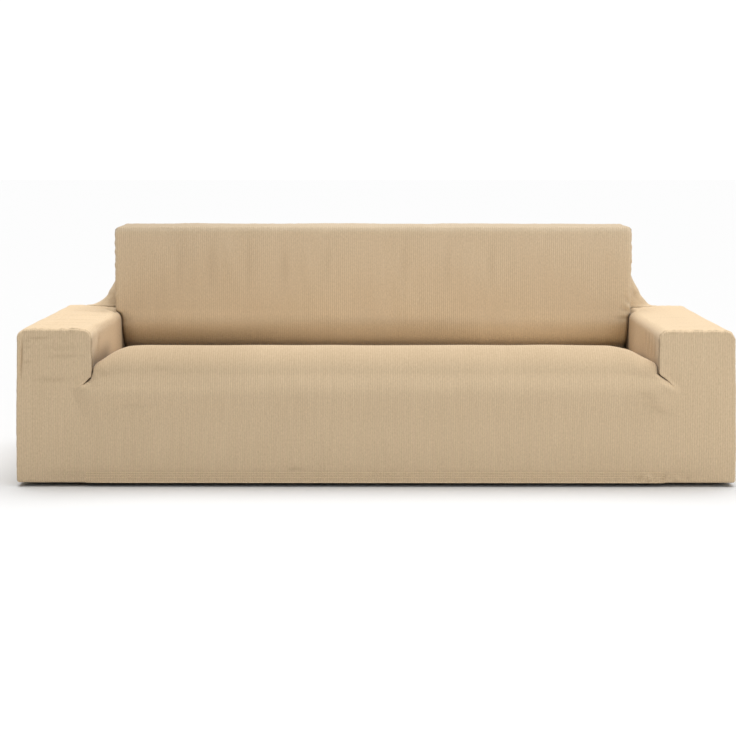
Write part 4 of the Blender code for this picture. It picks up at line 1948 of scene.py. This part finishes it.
STITCH_ROWS = tuple(Fold(Plane.FRONT, ((-1.10, row), (1.10, row)), 0.0019, -0.0011, 0.05)
                    for row in HemStitching.rows)
FRONT_FOLDS = (
    Fold(Plane.FRONT, ((-1.08, 0.404), (-1.00, 0.4055), (-0.94, 0.4062), (-0.915, 0.405)), 0.004, -0.0048,
         0.5),
    Fold(Plane.FRONT, ((-1.085, 0.436), (-1.01, 0.432), (-0.93, 0.433)), 0.006, -0.0024, 0.4),
    Fold(Plane.FRONT, ((-1.125, 0.464), (-1.07, 0.4655), (-1.03, 0.464)), 0.0045, -0.0027),
    Fold(Plane.FRONT, ((-1.12, 0.331), (-1.03, 0.329), (-0.95, 0.332)), 0.008, -0.0031, 0.4),
    Fold(Plane.FRONT, ((-1.125, 0.4546), (-1.099, 0.456)), 0.0028, -0.0034),
    Fold(Plane.FRONT, ((-1.126, 0.4354), (-1.098, 0.434)), 0.0028, -0.0034),
    Fold(Plane.FRONT, ((-1.127, 0.387), (-1.10, 0.388)), 0.003, -0.0031),
    Fold(Plane.FRONT, ((-1.124, 0.48), (-1.1275, 0.455), (-1.131, 0.40), (-1.136, 0.32)), 0.0032, -0.0058,
         0.35),
    Fold(Plane.FRONT, ((-0.9035, 0.3635), (-0.885, 0.356), (-0.84, 0.335)), 0.007, -0.002, 0.4),
    Fold(Plane.FRONT, ((-0.74, 0.362), (-0.69, 0.364), (-0.64, 0.361)), 0.006, -0.0018, 0.4, shade=15.0),
    Fold(Plane.FRONT, ((-0.86, 0.247), (-0.79, 0.25), (-0.70, 0.2485)), 0.006, -0.002, 0.4),
    Fold(Plane.FRONT, ((-0.97, 0.296), (-0.94, 0.308), (-0.915, 0.325)), 0.01, 0.0068, 0.4),
    Fold(Plane.FRONT, ((-0.30, 0.0425), (-0.26, 0.041), (-0.22, 0.043)), 0.0035, -0.0037, 0.4),
    Fold(Plane.FRONT, ((0.85, 0.26), (0.895, 0.24), (0.96, 0.21)), 0.012, -0.0036, 0.4),
    Fold(Plane.FRONT, ((0.905, 0.33), (0.945, 0.30), (0.975, 0.278)), 0.013, 0.0076, 0.4),
    Fold(Plane.FRONT, ((0.83, 0.29), (0.875, 0.278), (0.92, 0.25)), 0.012, -0.0026, 0.4),
    Fold(Plane.FRONT, ((0.847, 0.003), (0.856, 0.024)), 0.005, -0.0028),
    Fold(Plane.FRONT, ((0.885, -0.002), (0.88, 0.026)), 0.006, 0.0041),
    Fold(Plane.FRONT, ((0.925, 0.00), (0.934, 0.028)), 0.006, -0.0028),
    Fold(Plane.FRONT, ((0.97, 0.001), (0.964, 0.023)), 0.006, 0.0037),
    Fold(Plane.FRONT, ((1.006, 0.001), (1.01, 0.022)), 0.005, -0.0031),
    Fold(Plane.FRONT, ((-0.93, -0.0045), (1.00, -0.0045)), 0.004, 0.0014, 0.05),
)
INSIDE_BACK_FOLDS = (
    Fold(Plane.FRONT, ((0.925, 0.468), (0.90, 0.486), (0.865, 0.496)), 0.0055, -0.0034, 0.4),
    Fold(Plane.FRONT, ((0.927, 0.486), (0.91, 0.512), (0.885, 0.54)), 0.006, -0.0034, 0.4),
    Fold(Plane.FRONT, ((0.921, 0.454), (0.895, 0.46), (0.85, 0.458)), 0.0055, -0.0026, 0.4),
    Fold(Plane.FRONT, ((0.926, 0.478), (0.902, 0.501), (0.875, 0.518)), 0.005, 0.0026, 0.4),
    Fold(Plane.FRONT, ((0.928, 0.515), (0.915, 0.55), (0.908, 0.59)), 0.007, -0.0024, 0.4),
    Fold(Plane.FRONT, ((-0.924, 0.472), (-0.902, 0.48), (-0.88, 0.479)), 0.005, -0.0024, 0.4),
    Fold(Plane.FRONT, ((-0.92, 0.448), (-0.90, 0.45), (-0.885, 0.445)), 0.0045, -0.0024, 0.4),
    Fold(Plane.FRONT, ((-0.915, 0.42), (-0.898, 0.424), (-0.88, 0.42)), 0.0045, -0.002, 0.4),
    *(Fold(Plane.FRONT, ((x, low), (x + lean, high)), width, height, 0.4)
      for x, low, high, lean, width, height in (
          (-0.70, 0.56, 0.77, 0.012, 0.014, -0.0018), (-0.64, 0.60, 0.773, 0.006, 0.012, 0.0016),
          (-0.59, 0.54, 0.76, 0.01, 0.014, -0.0018), (-0.52, 0.59, 0.773, -0.004, 0.012, 0.0016),
          (-0.455, 0.53, 0.76, 0.008, 0.013, -0.0018), (-0.39, 0.58, 0.773, 0.01, 0.012, 0.0014),
          (-0.32, 0.524, 0.765, -0.006, 0.014, -0.0018), (-0.25, 0.57, 0.773, 0.008, 0.012, 0.0014),
          (-0.175, 0.55, 0.76, 0.006, 0.013, -0.0016), (0.10, 0.54, 0.77, 0.006, 0.013, -0.0015),
          (0.17, 0.59, 0.773, -0.006, 0.012, 0.0014), (0.25, 0.53, 0.765, 0.008, 0.014, -0.0016),
          (0.335, 0.58, 0.773, 0.004, 0.012, 0.0014), (0.415, 0.545, 0.76, -0.008, 0.014, -0.0016),
          (0.50, 0.57, 0.773, 0.006, 0.012, 0.0013))),
)
OUTSIDE_BACK_FOLDS = (
    Fold(Plane.FRONT, ((-0.985, 0.496), (-0.955, 0.499), (-0.93, 0.508)), 0.004, -0.003, 0.4, -1, 70.0),
    Fold(Plane.FRONT, ((-0.975, 0.508), (-0.95, 0.513), (-0.93, 0.526)), 0.004, -0.0024, 0.4, -1, 60.0),
    Fold(Plane.FRONT, ((0.937, 0.64), (0.94, 0.565), (0.95, 0.52), (0.975, 0.498)), 0.0055, -0.0048, 0.3,
         -1, 55.0),
    Fold(Plane.FRONT, ((0.942, 0.60), (0.952, 0.55), (0.97, 0.52), (1.005, 0.50)), 0.006, 0.0036, 0.3,
         -1),
    Fold(Plane.FRONT, ((-0.936, 0.60), (-0.94, 0.55), (-0.955, 0.513), (-0.985, 0.496)), 0.0055, -0.0028,
         0.3, -1),
)
LEFT_ARM_FOLDS = (
    Fold(Plane.TOP, ((-0.972, 0.316), (-0.945, 0.26), (-0.914, 0.196)), 0.006, -0.0092, 0.3),
    Fold(Plane.TOP, ((-0.985, 0.26), (-0.96, 0.215), (-0.925, 0.16)), 0.009, 0.0065, 0.3),
    Fold(Plane.TOP, ((-1.11, 0.235), (-1.02, 0.22), (-0.935, 0.17)), 0.019, -0.006, 0.3, shade=12.0),
    Fold(Plane.TOP, ((-1.115, 0.05), (-1.03, 0.03), (-0.93, 0.045)), 0.02, -0.0056, 0.3, shade=12.0),
    Fold(Plane.TOP, ((-1.115, -0.05), (-1.01, -0.06), (-0.93, -0.04)), 0.015, 0.004, 0.3),
    Fold(Plane.TOP, ((-1.115, -0.13), (-1.03, -0.145), (-0.93, -0.125)), 0.018, -0.0056, 0.3, shade=12.0),
    Fold(Plane.TOP, ((-1.115, -0.24), (-1.05, -0.25), (-0.935, -0.235)), 0.015, -0.0052, 0.3, shade=12.0),
    Fold(Plane.TOP, ((-1.115, -0.32), (-1.04, -0.335), (-0.94, -0.325)), 0.012, -0.0046, 0.3, shade=12.0),
    Fold(Plane.TOP, ((-1.11, -0.375), (-1.02, -0.385), (-0.96, -0.38)), 0.009, 0.0032, 0.3),
    Fold(Plane.TOP, ((-1.11, -0.405), (-1.05, -0.412), (-1.00, -0.408)), 0.006, -0.0034, 0.4, shade=14.0),
    Fold(Plane.TOP, ((-0.93, -0.37), (-0.918, -0.20), (-0.916, 0.00), (-0.915, 0.16)), 0.007, 0.004, 0.2),
    Fold(Plane.SIDE, ((-0.26, 0.465), (-0.30, 0.42), (-0.34, 0.39)), 0.016, -0.0048, 0.4, 1),
    Fold(Plane.SIDE, ((-0.33, 0.47), (-0.37, 0.43), (-0.40, 0.39)), 0.014, 0.0048, 0.4, 1),
)
RIGHT_ARM_FOLDS = (
    Fold(Plane.TOP, ((0.945, -0.33), (1.01, -0.337), (1.08, -0.328)), 0.008, -0.0029, 0.4),
    Fold(Plane.TOP, ((0.96, -0.365), (1.02, -0.372), (1.10, -0.365)), 0.009, 0.0022, 0.4),
    Fold(Plane.TOP, ((0.943, -0.406), (1.02, -0.41), (1.077, -0.402)), 0.006, -0.0026, 0.4),
    Fold(Plane.TOP, ((0.97, -0.21), (1.03, -0.215), (1.10, -0.205)), 0.014, -0.0018, 0.4),
    Fold(Plane.TOP, ((0.95, -0.02), (1.03, -0.03), (1.10, -0.015)), 0.014, -0.0018, 0.4),
    *(Fold(Plane.SIDE, ((y, 0.464), (y + lean, 0.385)), width, height, 0.4, -1)
      for y, lean, width, height in ((-0.165, -0.012, 0.014, -0.0024), (-0.205, -0.01, 0.014, 0.0022),
                                     (-0.24, -0.014, 0.013, -0.0026), (-0.275, -0.01, 0.013, 0.0024),
                                     (-0.308, -0.012, 0.012, -0.0026), (-0.34, -0.01, 0.012, 0.0024),
                                     (-0.368, -0.012, 0.011, -0.0026))),
)


def panels(fit: Fit) -> list[Panel]:
    """Lists the cover's pieces with their folds.

    Args:
        fit: The sofa's shape.

    Returns:
        The five panels.
    """
    soft = Ripple(size=(0.16, 0.16, 0.12), height=0.0016, seed=3.7)
    upright = Ripple(size=(0.05, 0.2, 0.22), height=0.0016, seed=8.1)
    # Painted light: the back's face has a lighter, less saturated copy of the same knit than the other panels
    lighter = Knit("rib_knit_inside_back_painted_light", light="E9D5B8", dark="C3B091")
    arms = [ArmPanel(fit, f"arm_cloth_{side}", f"arm_panel_{side}", "arm_cloth", flat=(0.92, 0.86), area=0.75,
                     folds=folds, ripples=(soft,), arm=arm)
            for side, arm, folds in (("left", LEFT, LEFT_ARM_FOLDS), ("right", RIGHT, RIGHT_ARM_FOLDS))]
    return [
        FrontPanel(fit, "front_cloth", "front_panel", "front_cloth", flat=(2.31, 1.14), area=2.31,
                   folds=STITCH_ROWS + FRONT_FOLDS, ripples=(soft,)),
        InsideBackPanel(fit, "inside_back_cloth", "inside_back_panel", "inside_back_cloth", flat=(1.90, 0.67),
                        area=1.22, knit=lighter, folds=INSIDE_BACK_FOLDS, ripples=(upright, soft)),
        OutsideBackPanel(fit, "outside_back_cloth", "outside_back_panel", "outside_back_cloth",
                         flat=(2.31, 0.86), area=1.83, folds=STITCH_ROWS + OUTSIDE_BACK_FOLDS,
                         ripples=(soft,)),
        *arms,
    ]


def main() -> None:
    """Builds the cover and its studio."""
    logging.basicConfig(level=logging.INFO)
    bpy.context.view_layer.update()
    fit = Fit.from_frame()
    for panel in panels(fit):
        piece = panel.build()
        LOG.info("%s: %d faces", panel.name, len(piece.data.polygons))
    HemStitching(fit).build(Thread("polyester_thread"))
    Studio().build()


if __name__ == "__main__":
    main()
